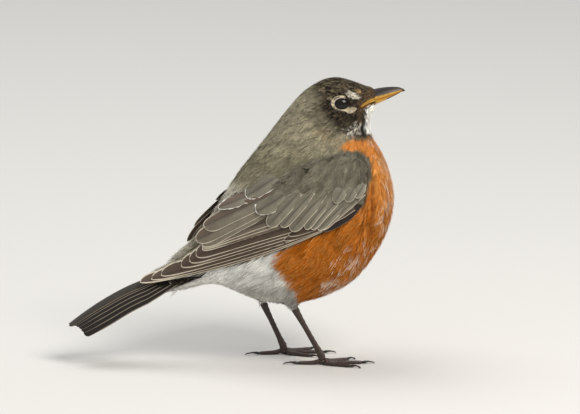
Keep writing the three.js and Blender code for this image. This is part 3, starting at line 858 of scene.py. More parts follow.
# The upper margin of the wing's long feathers and coverts: body tufts aren't rooted below it.
QUILL_PANEL = [(222, 205), (234, 192), (246, 181), (262, 174), (284, 180), (300, 188), (330, 186), (345, 188),
               (358, 190), (364, 195), (363, 205), (352, 214), (340, 223), (320, 234), (290, 247), (250, 260),
               (205, 271), (140, 286), (126, 274), (155, 261), (172, 248), (188, 230), (202, 213)]
BILL_SEAT = [(378, 96.5), (368, 100), (359.5, 105.5), (359, 108.5), (362, 109), (370, 105.5), (378, 104)]
# breast feathers rooted here stand over the folded wing's front edge
OVER_WING = [(350, 228), (360, 206), (365, 188), (371, 186), (374, 202), (366, 222), (356, 234)]
OVER_WING_LIFT = 1.2
RING_DARKS = 0.3                # share of the eye ring's feathers that are dark
RING_ROWS = [1.02, 1.14, 1.27]  # where its rows stand, as shares of the eye's reach
RING_STEP, RING_ENDS = 3.0, 318     # bearings between its feathers, and past which none stand
# how much fuller the throat's feathers stand, and how much brighter they are painted as painted light
THROAT_FULLER, THROAT_PAINTED_LIGHT = 0.8, 0.35
RUMP_FULLER = 1.7
TRIES, QUICK_TRIES = 320000, 60000      # places tried for a root
HEAD_ABOVE, NECK_ABOVE = 124, 104       # where the coat's pieces part
BREAST_AHEAD, FLANKS_AHEAD = 44, 10
HEAD_TUFT = tuft_template(5, 0.5, 0.35, 0.5)
BODY_TUFT = tuft_template(10, 0.4, 0.42, 0.55)
RING_TUFT = tuft_template(3, 0.7, 0.3, 0.5)

# distance from the bill's root, and the length, half width and spacing of the feathers there
TUFT_SIZES = {
    "from": [0, 8, 16, 26, 36, 50, 70, 100, 190],
    "length": [1.8, 2.2, 3.0, 4.4, 6.5, 9.5, 12.5, 14.0, 15.0],
    "half": [0.38, 0.42, 0.5, 0.62, 1.05, 2.1, 3.2, 3.7, 3.7],
    "spacing": [0.42, 0.45, 0.51, 0.6, 0.86, 1.42, 1.95, 2.15, 2.2],
}


def lay_bristles(skin, material):
    """Short feathers that run forward over the root of the bill."""
    def spacing_at(places):
        forward = (places[:, 0] > 70.5) & (places[:, 0] < 76.0) & (np.abs(places[:, 2] - 149.0) < 9.0)
        return np.where(forward & (depth_in(BILL_SEAT, drawn(places)) < 0), 0.42, 0.0)

    roots, normals, uv = skin.scatter(spacing_at, 60000)
    count = len(roots)
    sizes = (rng.uniform(3.0, 4.6, count), np.full(count, 0.34), np.full(count, 1.5))

    def lie(places):
        inward = (BILL_ROOT - places) * [0, 0.12, 0.12]
        return unit(np.array([1.0, 0.0, 0.2]) + inward)
    lay_tufts("bristles", skin, roots, normals, uv, sizes, RING_TUFT, lie, material)


def underside(points):
    """1 on the vent and the under tail coverts, 0 above the tail's sides."""
    marks = drawn(points)
    return smooth(marks[:, 1] - np.interp(marks[:, 0], [150, 260], [284, 260]), 0.0, 6.0)


def feather_sizes(points):
    """Length, half width and spacing of the feathers rooted at points."""
    from_bill = np.linalg.norm(points - BILL_ROOT, axis=1)
    length, half, spacing = (np.interp(from_bill, TUFT_SIZES["from"], TUFT_SIZES[key])
                             for key in ("length", "half", "spacing"))
    legs = smooth(-points[:, 2], -46.0, -36.0) * smooth(-np.abs(np.abs(points[:, 1]) - 13.5), -8.0, -4.0)
    length = length * (1 - 0.45 * legs)
    half = half * (1 - 0.5 * legs)
    spacing = spacing * (1 - 0.35 * legs)
    stern = smooth(-points[:, 0], 14.0, 30.0)
    eye = np.array([EYE_CENTRE[0], EYE_SKIN_OUT, EYE_CENTRE[1]])
    away = np.linalg.norm(points * [1, 0, 1] + np.abs(points) * [0, 1, 0] - eye, axis=1)
    small = 1 - smooth(away, 4.0, 12.0)
    below = underside(points)
    length = length * (1 - (0.15 * below + 0.4 * (1 - below)) * stern)
    length = length * (1 - small) + np.minimum(length, 1.5) * small
    half = half * (1 - 0.35 * stern) * (1 - small) + np.minimum(half, 0.55) * small
    return length, half, spacing * (1 - 0.25 * stern) * (1 - small) + np.minimum(spacing, 0.62) * small


def rooted(points):
    """The spacing of roots, and zero where none grow: under the quills, in the eyes and at the bill."""
    _, _, spacing = feather_sizes(points)
    marks, out = drawn(points), np.abs(points[:, 1])
    bare = (depth_in(QUILL_PANEL, marks) > 0) & (out > np.where(points[:, 0] < -26.0, 5.0, 7.0))
    bare |= (depth_in(BILL_SEAT, marks) > 0) & (points[:, 0] > FACE_AHEAD)
    bare |= points[:, 0] < np.where(underside(points) > 0.5, -31.0, -39.5)
    reach = from_eye(marks)
    bare |= ((reach < 1.0) | (ring_share(marks) > 0.5) & (reach < 1.4)) & (out > 8)
    return np.where(bare, 0.0, spacing)


def lay_coat(skin, ankles, material):
    """Covers the skin with contour feathers, in pieces by the part of the body they stand on."""
    roots, normals, uv = skin.scatter(rooted, TRIES)
    length, half, _ = feather_sizes(roots)
    length = length * rng.uniform(0.88, 1.14, len(roots))
    stern = smooth(-roots[:, 0], 12.0, 28.0)
    lifts = 1.2 * coat_depth(roots) * (1 - 0.5 * stern * underside(roots))
    top = 1 - smooth(np.abs(roots[:, 1]), 4.0, 9.0)
    fuller = RUMP_FULLER * top * (1 - smooth(-roots[:, 0], 24.0, 36.0)) - 0.9 * (1 - top)
    lifts = lifts + fuller * smooth(-roots[:, 0], 8.0, 24.0) * (1 - underside(roots))
    lifts = lifts + THROAT_FULLER * within(THROAT, drawn(roots), 2.0)
    lifts = lifts + OVER_WING_LIFT * within(OVER_WING, drawn(roots), 3.0)
    head = roots[:, 2] > HEAD_ABOVE
    neck = ~head & (roots[:, 2] > NECK_ABOVE)
    front = ~head & ~neck & (roots[:, 0] > BREAST_AHEAD)
    middle = ~head & ~neck & ~front & (roots[:, 0] > FLANKS_AHEAD)
    groups = {
        "head_right": head & (roots[:, 1] < 0), "head_left": head & (roots[:, 1] >= 0), "neck": neck,
        "breast": front, "flanks": middle, "rump": ~(head | neck | front | middle),
    }
    for name, chosen in groups.items():
        template = HEAD_TUFT if name.startswith("head") else BODY_TUFT
        sizes = (length[chosen], half[chosen], lifts[chosen])
        lay_tufts(f"coat_{name}", skin, roots[chosen], normals[chosen], uv[chosen], sizes, template,
                  lambda places: lie_of_coat(places, ankles), material)


def lay_eye_ring(skin, material):
    """The short pale feathers that stand round the eyelids."""
    rows, in_row = len(RING_ROWS), len(np.arange(0, 360, RING_STEP))
    for name, side in SIDES.items():
        bearing = np.tile(np.arange(0, 360, RING_STEP), rows) + rng.normal(0, 1.0, rows * in_row)
        start = np.repeat(RING_ROWS, in_row)
        outer = ring_edge(bearing)
        chosen = (outer > start + 0.06) & (bearing < RING_ENDS)
        bearing, start, outer = bearing[chosen], start[chosen], outer[chosen]
        turn = np.radians(bearing)
        spoke = np.stack([np.cos(turn), -np.sin(turn)], axis=-1) * EYE_REACH
        marks = EYE_MARK + spoke * start[:, None]
        roots, normals = skin.nearest(lifted(marks, EYE_SKIN_OUT, side))
        lengths = (outer - start) * np.linalg.norm(spoke, axis=1) * DRAWING_MM
        lengths = lengths * rng.uniform(0.9, 1.15, len(marks))
        eye = np.array([EYE_CENTRE[0], side * 12.0, EYE_CENTRE[1]])
        sizes = (lengths, np.full(len(marks), 0.3), np.full(len(marks), 0.8))
        uv = 0.5 + 0.36 * start[:, None] * np.stack([np.cos(turn), np.sin(turn)], axis=-1)
        lay_tufts(f"eye_ring_{name}", skin, roots, normals, uv, sizes, RING_TUFT,
                  lambda places, eye=eye: unit(places - eye), material, ("ring", "ring_pale"))


# ---- quills

def fitted_surface(points, degree):
    """A smooth polynomial through scattered heights: points hold two places and a height."""
    centre, scale = points[:, :2].mean(0), np.abs(points[:, :2] - points[:, :2].mean(0)).max(0)
    powers = [(i, j) for i in range(degree + 1) for j in range(degree + 1 - i)]

    def terms(a, b):
        s, t = (a - centre[0]) / scale[0], (b - centre[1]) / scale[1]
        return np.stack([s ** i * t ** j for i, j in powers], axis=-1)

    weights = np.linalg.lstsq(terms(points[:, 0], points[:, 1]), points[:, 2], rcond=None)[0]
    return lambda a, b: terms(a, b) @ weights


def outermost(tree, marks, far, near):
    """How far out a surface lies behind each mark of the drawing, or None where the drawing misses it."""
    found = []
    for start, end in zip(lifted(marks, far, 1).tolist(), lifted(marks, near, 1).tolist()):
        ray = Vector(end) - Vector(start)
        spot = tree.ray_cast(Vector(start), ray, ray.length)[0]
        found.append(None if spot is None else spot.y)
    return found


def outer_fit(tree, low, high, degree):
    """A smooth fit of how far out a surface lies over a box of the side drawing."""
    step = 4.0
    grid = np.stack(np.meshgrid(np.arange(low[0], high[0], step), np.arange(low[1], high[1], step)), -1)
    grid = grid.reshape(-1, 2)
    hits = [(*mark, out) for mark, out in zip(grid, outermost(tree, grid, 70.0, 2.0)) if out is not None]
    return fitted_surface(np.array(hits), degree)


def cad_tree(names):
    """A search tree of CAD nodes' faces, in mm."""
    points, faces, start = [], [], 0
    for name in names:
        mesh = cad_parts[name].data
        found, _, triangles = mesh_arrays(mesh)
        points.extend(found.tolist())
        faces.extend((triangles + start).tolist())
        start += len(found)
    return BVHTree.FromPolygons(points, faces)


BARB_SLANT = 0.8                # how far barbs run back for each mm that they run out
BARB_STEP = 40                  # between one vane's place in the barbs' noise and the next one's
# faces across and along one vane: closer together at the shaft, the edges and the tip
ACROSS = np.array([-1, -0.9, -0.65, -0.35, -0.07, 0, 0.07, 0.35, 0.65, 0.9, 1.0])
ALONG = 1 - (1 - np.linspace(0, 1, 23)) ** 1.5


def vane_outline(v, blunt, base):
    """The vane's half width along its length, from its base to its rounded tip."""
    opening = base + (1 - base) * smooth(v, 0.0, 0.35)
    closing = np.sqrt(np.clip(1 - (np.clip((v - blunt) / (1 - blunt), 0, 1)) ** 2.2, 0, 1))
    return opening * closing


def bent(root, middle, tip, share):
    """Points along the parabola through three points, and the ways it runs there."""
    root, middle, tip = (np.array(point, float) for point in (root, middle, tip))
    at = np.linalg.norm(middle - root)
    at = at / (at + np.linalg.norm(tip - middle))
    pull = (middle - root - (tip - root) * at) / (at * (at - 1))
    share = share[:, None]
    spots = root + (tip - root) * share + pull * share * (share - 1)
    return spots, unit(tip - root + pull * (2 * share - 1))


class QuillBundle:
    """Gathers vanes that lie on a surface and joins them into one piece."""

    def __init__(self, name, place, facing, unit_mm):
        self.name, self.place, self.facing, self.unit_mm = name, place, facing, unit_mm
        self.vanes = []

    def add(self, root, tip, widths, lift, looks, middle=None, blunt=0.8, base=0.5, tilt=0.25,
            hem=(0.6, 0.6), camber=0.3, fray=0.0, dip=0.6):
        """
        One vane on its shaft line. Widths are below and above the shaft. Looks are the lower web's,
        the upper web's and the hem's colours, and hem is the pale edge's width below and above, in mm.
        """
        if middle is None:
            middle = (np.array(root, float) + np.array(tip, float)) / 2
        line, ways = bent(root, middle, tip, ALONG)
        length = np.linalg.norm(np.diff(line, axis=0), axis=1).sum()
        down = np.stack([-ways[:, 1], ways[:, 0]], axis=-1)
        if down[0, 1] < 0:
            down = -down
        u, v = np.broadcast_arrays(ACROSS[None, :], ALONG[:, None])
        width = np.where(u < 0, widths[0], widths[1]) * vane_outline(v, blunt, base)
        ragged = 1 + fray * rng.normal(0, 0.12, u.shape) * (np.abs(u) > 0.95)
        flat = line[:, None] + down[:, None] * (-u * width * ragged)[..., None]
        ridge = 0.1 * (np.abs(u) < 0.03) * (1 - 0.7 * v)
        height = lift + tilt * -u * (0.35 + 0.65 * v) + camber * (1 - u ** 2) * smooth(v, 0.0, 0.2) + ridge
        height = height - dip * (1 - smooth(v, 0.05, 0.5))
        lower, upper, rim = looks
        web = mixed(lower, upper, smooth(u, -0.3, 0.3))
        shaft = 1 - smooth(np.abs(u), 0.02, 0.12)
        web = mixed(web, "shaft", shaft * 0.7)
        web = mixed(web, upper, 0.35 * smooth(v, 0.55, 0.95) * (1 - shaft))
        from_side = (1 - np.abs(u)) * width * self.unit_mm
        from_tip = (1 - v) * length * self.unit_mm
        rounded = smooth(v, 0.78, 0.9)
        rim_width = np.where(u <= 0, hem[0] * (0.6 + 0.4 * rounded), hem[1] + (hem[0] - hem[1]) * rounded)
        edge = np.minimum(from_side, from_tip) / rim_width
        self.vanes.append({
            "spot": self.place(flat, height), "u": u, "v": v, "colour": web,
            "margin": np.broadcast_to(TINT[rim], (*u.shape, 3)), "hem": edge,
            "barb": np.stack([v * length * self.unit_mm - np.abs(u) * width * self.unit_mm * BARB_SLANT
                              + BARB_STEP * len(self.vanes), np.abs(u) * width * self.unit_mm], axis=-1),
        })

    def finish(self, replaced, material, thickness):
        rows, columns = len(ALONG), len(ACROSS)
        count = len(self.vanes)
        stack = {key: np.stack([vane[key] for vane in self.vanes]) for key in self.vanes[0]}
        index = np.arange(rows * columns).reshape(rows, columns)
        quads = np.stack([index[:-1, :-1], index[1:, :-1], index[1:, 1:], index[:-1, 1:]], axis=-1)
        quads = quads.reshape(-1, 4)
        faces = (quads[None] + (np.arange(count) * rows * columns)[:, None, None]).reshape(-1, 4)
        side = math.ceil(math.sqrt(count * 2))
        cell = np.stack([np.arange(count) % side, np.arange(count) // side], axis=-1) / side
        inner = np.stack([(stack["u"] * 0.5 + 0.5) * 0.9 + 0.05, stack["v"] * 0.9 + 0.05], axis=-1) / side
        patch = cell[:, None, None, :] + inner
        points = stack["spot"].reshape(-1, 3)
        corner = points[faces[len(quads) // 2]]
        if np.cross(corner[1] - corner[0], corner[3] - corner[0]) @ self.facing < 0:
            faces = faces[:, ::-1]
        mesh = array_mesh(
            self.name, points, [faces],
            {"OFBake": patch.reshape(-1, 2), "Barb": stack["barb"].reshape(-1, 2)},
            {"plumage": stack["colour"].reshape(-1, 3), "fringe": stack["margin"].reshape(-1, 3)},
            {"hem": stack["hem"].reshape(-1)},
        )
        wall = link(self.name, mesh, material, replaced).modifiers.new("vane_thickness", "SOLIDIFY")
        wall.thickness, wall.offset = thickness * MM, -1.0


# Shaft lines in the side drawing, as root, middle and tip, with the widths below and above the shaft.
PRIMARIES = [                   # the outermost and lowest first
    ((345, 220), (245, 258.5), (140, 282.5), (2.4, 9.0)),
    ((346, 219), (247, 255.5), (151, 279.5), (2.8, 9.0)),
    ((347, 218), (248, 251.5), (161, 275.5), (3.4, 10.0)),
    ((348, 216), (250, 246.5), (181, 266.5), (4.2, 11.0)),
    ((348, 214), (252, 242.0), (189.5, 261.5), (5.0, 11.0)),
    ((348, 212), (254, 238.0), (196, 256.0), (5.2, 11.0)),
]
SECONDARIES = [
    ((345, 210), (256, 235.5), (201, 251.5), (4.0, 8.0)),
    ((340, 208), (258, 232.0), (202, 249.5), (4.0, 8.0)),
    ((330, 207), (258, 228.5), (202, 247.5), (4.2, 8.0)),
    ((318, 206), (256, 225.5), (202, 246.0), (4.6, 8.0)),
]
TERTIALS = [
    ((290, 200), (240, 223.0), (202, 245.0), (7.6, 8.5)),
    ((280, 197), (232, 222.0), (196, 240.5), (8.4, 8.5)),
    ((272, 194), (232, 212.5), (203.5, 226.5), (10.0, 6.0)),
]
PRIMARY_COVERTS = [
    # the first, near black, is partly the dark covert itself and partly painted shadow under the greater
    # coverts
    ((359, 205.5), (345, 216.5), (320, 229.0), (5.5, 7.5)),
    ((352, 214), (316, 229.5), (283.5, 240.0), (3.0, 4.0)),
    ((352, 211), (318, 226.0), (288, 235.5), (3.0, 4.0)),
    ((354, 209), (334, 219.0), (318, 227.0), (3.2, 3.6)),
]
GREATER_COVERTS = [             # the outermost first
    ((364, 194), (344, 210.0), (322, 230.0), (3.2, 5.0)),
    ((350, 198), (334, 214.0), (318, 230.0), (4.2, 5.5)),
    ((342, 196), (326, 212.5), (311.5, 229.5), (3.8, 5.5)),
    ((333, 196), (319, 212.0), (305.5, 229.5), (3.8, 5.5)),
    ((325, 193), (308, 210.5), (291, 231.0), (6.6, 6.5)),
    ((313, 192), (298, 208.0), (281.5, 227.0), (5.4, 7.0)),
    ((300, 192), (285, 207.5), (268, 226.0), (7.0, 7.0)),
]
MEDIAN_COVERTS = [
    ((364, 184), (360, 190.5), (355, 198), (4.4, 4.8)),
    ((357, 183), (352, 191.0), (346, 202), (5.4, 5.8)),
    ((346, 183), (341, 191.5), (334, 203), (5.8, 6.2)),
]
SCAPULARS = [
    ((285, 180), (252, 194.0), (218, 208.0), (6.8, 6.5)),
    ((300, 182), (278, 199.0), (256, 212), (9.5, 12.0)),
    ((285, 172), (266, 184.0), (246, 197), (8.5, 10.0)),
]


# Each row's vanes, the first one's lift and what each one stands over the last, the colours of the first
# vanes, of which the last goes on for the rest, and their shape.
WING_ROWS = [
    (PRIMARIES, -1.75, 0.2, [("quill_dark", "quill_dark", "margin")],
     {"blunt": 0.9, "hem": (0.66, 0.1), "tilt": 0.15}),
    (SECONDARIES, -0.9, 0.22, [("quill_mid", "quill_dark", "margin")],
     {"blunt": 0.9, "hem": (0.75, 0.1), "tilt": 0.18}),
    (TERTIALS, -0.1, 0.3, [("quill_grey", "quill_brown", "margin")],
     {"blunt": 0.84, "hem": (0.6, 0.1), "tilt": 0.25}),
    (PRIMARY_COVERTS, -1.0, 0.15,
     [("quill_black_and_shadow", "quill_black_and_shadow", "quill_mid"), ("quill_dark", "quill_dark", "margin")],
     {"blunt": 0.82, "hem": (0.4, 0.1), "tilt": 0.2}),
    (GREATER_COVERTS, -0.2, 0.18, [("covert_grey", "covert", "margin")],
     {"blunt": 0.8, "hem": (0.5, 0.1), "tilt": 0.25, "dip": 0.8}),
    (MEDIAN_COVERTS, 0.55, 0.15, [("covert_grey", "covert", "margin")],
     {"blunt": 0.6, "hem": (0.36, 0.08), "tilt": 0.2, "dip": 2.4}),
]
SCAPULAR_ROWS = [
    (SCAPULARS, 0.7, 0.4,
     [("covert_grey", "quill_brown", "margin_white"), ("covert_grey", "covert", "margin_white")],
     {"blunt": 0.62, "hem": (0.45, 0.02), "tilt": 0.25, "fray": 0.6, "dip": 2.6}),
]
WING_WALL, SCAPULAR_WALL, TAIL_WALL = 0.14, 0.2, 0.3
SCAPULARS_OVER_BODY, SCAPULARS_OVER_WING = 1.7, 0.2
LEFT_TIPS_DROP = (5.0, 16.0)    # the left wing's tips lie this much lower than the right's
LEFT_EDGE_RISE = (-1.2, -1.2)   # and its upper edge stands this much out from the rump
LEFT_TERTIALS_LONGER = (-6.0, 8.0)


def make_wing(name, side, wing_fit, shoulder_fit, material):
    """The folded wing's feathers, laid from the lowest row up, and the scapulars over them."""
    def on_wing(marks, height):
        out = wing_fit(marks[..., 0], marks[..., 1]) + height
        if side > 0:
            marks = marks + smooth(-marks[..., :1], -200.0, -150.0) * LEFT_TIPS_DROP
            marks = marks + smooth(-marks[..., :1], -250.0, -215.0) * LEFT_EDGE_RISE
        return lifted(marks, out, side)

    def on_shoulder(marks, height):
        over_body = shoulder_fit(marks[..., 0], marks[..., 1]) + SCAPULARS_OVER_BODY
        over_wing = wing_fit(marks[..., 0], marks[..., 1]) + SCAPULARS_OVER_WING
        wing_side = smooth(marks[..., 1] - 0.35 * (marks[..., 0] - 240), 190.0, 205.0)
        return lifted(marks, over_body * (1 - wing_side) + np.maximum(over_wing, over_body) * wing_side
                      + height, side)

    replaced = [f"wing_{name}_{part}" for part in WING_PARTS]
    for title, place, rows, nodes, wall in (
            (f"wing_{name}_quills", on_wing, WING_ROWS, replaced, WING_WALL),
            (f"scapulars_{name}", on_shoulder, SCAPULAR_ROWS, [], SCAPULAR_WALL)):
        bundle = QuillBundle(title, place, np.array([0.0, side, 0.0]), DRAWING_MM)
        for vanes, lift, step, looks, shape in rows:
            for i, (root, middle, tip, widths) in enumerate(vanes):
                if side > 0 and vanes is TERTIALS:
                    tip = tuple(np.add(tip, LEFT_TERTIALS_LONGER))
                bundle.add(root, tip, widths, lift + step * i, looks[min(i, len(looks) - 1)], middle, **shape)
        bundle.finish(nodes, material, wall)


# ---- tail

TAIL_ROOT_X = -50.0             # where the tail leaves the coverts
TAIL_ARCH = 1.9                 # how far its middle bows up
TAIL_ROOF = 2.6                 # how far its folded sides slope down
TAIL_TIPS_OUT, TAIL_ROOTS_OUT = (1.9, 7.6), (0.8, 4.6)      # the middle pair's, and how much more the last's
TAIL_WIDTHS = {"top": 3.6, "outer": 3.0, "inner": 4.2}      # of one feather's webs
TAIL_HEM = (0.25, 0.1)          # of the outer web and of the inner web
TAIL_CORNER = 7.5               # the outermost feathers end this much sooner
TAIL_ROOT_SHORT = 4.0           # and all begin this far behind the tail's own front end
TAIL_PAIRS = 6                  # of feathers, the middle pair on top
TAIL_STEP = 0.34                # each pair lies this much under the pair inside it


def make_tail(material):
    points = node_points("tail")
    cells = {}
    for x, y, z in points:
        key = (round(x / 3.0), round(y / 2.0))
        if key not in cells or cells[key][2] < z:
            cells[key] = (x, y, z)
    surface = fitted_surface(np.array(list(cells.values())), 3)
    low, high = points.min(0), points.max(0)

    def on_tail(marks, height):
        x, y = marks[..., 0], marks[..., 1]
        along = np.clip((x - low[0]) / (TAIL_ROOT_X - low[0]), 0, 1)
        arch = TAIL_ARCH * 4 * along * (1 - along)
        roof = TAIL_ROOF * smooth(along, -0.1, 0.6) * (np.abs(y) / 8.0) ** 1.5
        return np.stack([x, y, surface(x, y) + height + arch - roof], axis=-1)

    bundle = QuillBundle("tail_quills", on_tail, np.array([0.0, 0.0, 1.0]), 1.0)
    for pair in reversed(range(TAIL_PAIRS)):
        out = pair / (TAIL_PAIRS - 1)
        for side in SIDES.values():
            tip_out, root_out = (first + more * out for first, more in (TAIL_TIPS_OUT, TAIL_ROOTS_OUT))
            tip = (low[0] + TAIL_CORNER * out ** 0.8 + 0.4, side * tip_out)
            root = (high[0] - TAIL_ROOT_SHORT, side * root_out)
            widths = (TAIL_WIDTHS["top" if pair == 0 else "outer"], TAIL_WIDTHS["inner"])[::side]
            hem = TAIL_HEM[::side]
            web = "tail_top" if pair == 0 else "tail"
            bundle.add(root, tip, widths, -0.1 - TAIL_STEP * pair, (web, web, "tail_margin"), blunt=0.93,
                       base=0.95, hem=hem, tilt=0.0, camber=0.25)
    bundle.finish(["tail"], material, TAIL_WALL)


# ---- bill, eyes, legs

def place_on(line, stations, share):
    """The place on a line of points at a share of its length, given the stations of its points."""
    return np.array([np.interp(share, stations, line[:, k]) for k in range(3)])


def formed(name, columns, rows, place):
    """A grid wrapped by a function of its shares across and along, welded where its edges meet."""
    shape = bmesh.new()
    bmesh.ops.create_grid(shape, x_segments=columns, y_segments=rows, size=0.5)
    for vertex in shape.verts:
        vertex.co = Vector(place(vertex.co.x + 0.5, vertex.co.y + 0.5)) * MM
    bmesh.ops.remove_doubles(shape, verts=shape.verts, dist=WELD)
    bmesh.ops.recalc_face_normals(shape, faces=shape.faces)
    return settled(shape, name)


BILL = {"base": 76.4, "length": 17.5, "edge": 147.2, "rise": 5.2, "half_width": 4.3, "seat": 3.0}
BILL_TIP = 0.12                 # the least half width and half height, at the tip
BILL_HOOK = 0.7                 # the upper tip bends down this much


def bill_half(direction, depth, length, power):
    """The place function of one half of the bill: direction is 1 for the upper half."""
    def place(around, along):
        angle = around * 2 * math.pi
        sideways, upward = math.cos(angle), math.sin(angle)
        left = max(0.0, 1 - along ** (1 / power)) ** power
        width = BILL_TIP + (BILL["half_width"] - BILL_TIP) * left
        height = BILL_TIP + (depth - BILL_TIP) * left
        hook = BILL_HOOK * max(0.0, along - 0.8) / 0.2 if direction > 0 else 0.0
        ridge = upward * height if upward > 0 else upward * 0.25
        pinch = 1 - 0.35 * max(0.0, upward) ** 2
        edge = BILL["edge"] + BILL["rise"] * along - hook
        if around in (0.0, 1.0):
            sideways = 1.0
        closing = 1.0 if 0 < along < 1 else 0.0
        # the first row runs back under the feathers of the face
        behind = BILL["seat"] if along < 0.02 else 0.0
        return (BILL["base"] + length * along - behind, sideways * width * pinch * closing,
                edge + direction * (BILL_TIP + ridge * closing))
    return place


GAPE_LINE = ((377.5, 98.6), (369.5, 101.6), (360.5, 107.0))     # marks of the side drawing
GAPE_STATIONS = 9


def make_gape(skin, material):
    """The thin soft edges of the mouth, from the bill's corner back along the face."""
    for name, side in SIDES.items():
        edges = []
        for direction in (1, -1):
            marks, _ = bent(*GAPE_LINE, np.linspace(0, 1, GAPE_STATIONS))
            marks[:, 1] -= direction * np.linspace(1.3, 0.55, GAPE_STATIONS)
            found = [out or 0.0 for out in outermost(skin.tree, marks, 40.0, 0.0)]
            centres = lifted(marks, np.maximum(found, 3.4), 1)
            stations = np.linspace(0, 1, GAPE_STATIONS)

            def lip(around, along, centres=centres, stations=stations, side=side):
                turn = around * 2 * math.pi
                fat = (0.75 - 0.55 * along) * (1.0 if 0 < along < 1 else 0.0)
                spot = place_on(centres, stations, along)
                return (spot[0], side * (spot[1] + 0.3 + 0.6 * fat * math.cos(turn)),
                        spot[2] + fat * math.sin(turn))
            edges.append(formed("lip", 10, 24, lip))
        mesh = joined(f"gape_{name}", edges)
        # pale yellow where the lips face sideways, as painted highlight; gape brown where they face up or
        # down
        paint(mesh, lambda _, normals: mixed("gape", "yellow_highlight", smooth(np.abs(normals[:, 1]), 0.5, 1.0)))
        link(mesh.name, mesh, material)


def make_bill(skin):
    # horn: the eye reads a smooth, faintly polished surface, dark on the ridge and yellow at the edges, with
    # a paler yellow band beside each edge as painted highlight
    material = painted_material("keratin_horn", 700.0, 0.00008, Roughness=0.44, Specular_IOR_Level=0.3,
                                Coat_Weight=0.06)

    def upper_colour(points, _):
        along = (points[:, 0] - BILL["base"]) / BILL["length"]
        above = points[:, 2] - (BILL["edge"] + BILL["rise"] * along)
        # a paler band just above the cutting edge as painted highlight, then grey horn and dark horn above
        colour = mixed("yellow", "yellow_highlight", smooth(above, 0.1, 0.9))
        colour = mixed(colour, "horn_grey", smooth(above, 1.0 - 0.5 * along, 1.8 - 0.8 * along))
        colour = mixed(colour, "horn", smooth(above, 1.8, 3.6))
        return mixed(colour, "horn", smooth(along, 0.8, 0.95))

    def lower_colour(points, _):
        along = (points[:, 0] - BILL["base"]) / BILL["length"]
        under = BILL["edge"] + BILL["rise"] * along - points[:, 2]
        # a paler band just below the cutting edge as painted highlight
        colour = mixed("yellow", "yellow_highlight", smooth(under, 0.3, 1.2))
        dark = smooth(under, 1.5 - 1.5 * along, 2.0 - 1.8 * along) * smooth(along, 0.34, 0.46)
        return mixed(colour, "horn", np.maximum(dark, smooth(along, 0.8, 0.95)))

    make_gape(skin, material)
    for name, direction, depth, length, power, colour_at in (
            ("upper_bill", 1, 5.6, 17.5, 0.68, upper_colour),
            ("lower_bill", -1, 3.2, 16.9, 0.78, lower_colour)):
        mesh = formed(f"{name}_horn", 32, 40, bill_half(direction, depth, length, power))
        paint(mesh, colour_at)
        link(f"{name}_horn", mesh, material, [name])


EYE_OUT = 13.3                  # the eyelids' plane from the middle plane
EYE_TILT = math.radians(13)     # and how far its top leans in
EYEBALL = (4.25, 3.35, 2.4)     # half its length, height and thickness
LID_REACH = (4.02, 3.1)         # the eyelid's middle line, forward and up from the eye's middle
LID_WIDTH, LID_HEIGHT = 0.42, 0.26


def make_eyes():
    # a wet dark eye: the eye reads one small sharp glint on near black
    material, tree, shader = new_material("wet_cornea", Roughness=0.05, Specular_IOR_Level=0.3)
    grain = noise(tree, add_node(tree, "TexCoord").outputs["Object"], 2.0, scale=1800.0)
    colour = add_node(tree, "Mix", {"data_type": "RGBA", 6: rgba("eye"), 7: rgba("iris")}, {0: grain})
    tree.links.new(colour.outputs[2], shader.inputs["Base Color"])
    # bare lids: the eye reads a thin dull rim, dark in front and pale behind
    lid_material = painted_material("eyelid_skin", 2600.0, 0.0001, Roughness=0.7, Specular_IOR_Level=0.2)
    sunk = EYEBALL[2] * math.sqrt(1 - ((LID_REACH[0] - LID_WIDTH) / EYEBALL[0]) ** 2)
    for name, side in SIDES.items():
        low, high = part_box(f"eye_{name}")
        centre = (low + high) / 2 / MM
        centre.y = side * EYE_OUT

        def placed(ahead, up, out, side=side, centre=centre):
            return Vector((centre.x + ahead,
                           centre.y + side * (out * math.cos(EYE_TILT) - up * math.sin(EYE_TILT)),
                           centre.z + up * math.cos(EYE_TILT) + out * math.sin(EYE_TILT)))

        ball = bmesh.new()
        bmesh.ops.create_uvsphere(ball, u_segments=48, v_segments=32, radius=1.0)
        for vertex in ball.verts:
            ahead, up, out = (value * reach for value, reach in zip(vertex.co, EYEBALL))
            vertex.co = placed(ahead, up, out - sunk) * MM
        bmesh.ops.recalc_face_normals(ball, faces=ball.faces)
        link(f"eye_{name}_ball", settled(ball, f"eye_{name}_ball"), material, [f"eye_{name}"])

        def lid(around, across, placed=placed):
            angle, turn = around * 2 * math.pi, across * 2 * math.pi
            grow = 1 + LID_WIDTH * math.cos(turn) / LID_REACH[0]
            return placed(math.cos(angle) * LID_REACH[0] * grow, math.sin(angle) * LID_REACH[1] * grow,
                          LID_HEIGHT * math.sin(turn))

        def lid_colour(points, _, centre=np.array(centre)):
            off = (points - centre)[:, [0, 2]]
            edge = np.hypot(off[:, 0] / LID_REACH[0], off[:, 1] / LID_REACH[1])
            bearing = np.degrees(np.arctan2(off[:, 1], off[:, 0])) % 360
            pale = smooth(edge, 1.0, 1.07) * smooth(bearing, 48.0, 62.0) * (1 - smooth(bearing, 326.0, 340.0))
            return mixed("lid", "ring_pale", pale)
        mesh = formed(f"eyelid_{name}", 96, 12, lid)
        paint(mesh, lid_colour)
        link(f"eyelid_{name}", mesh, lid_material)


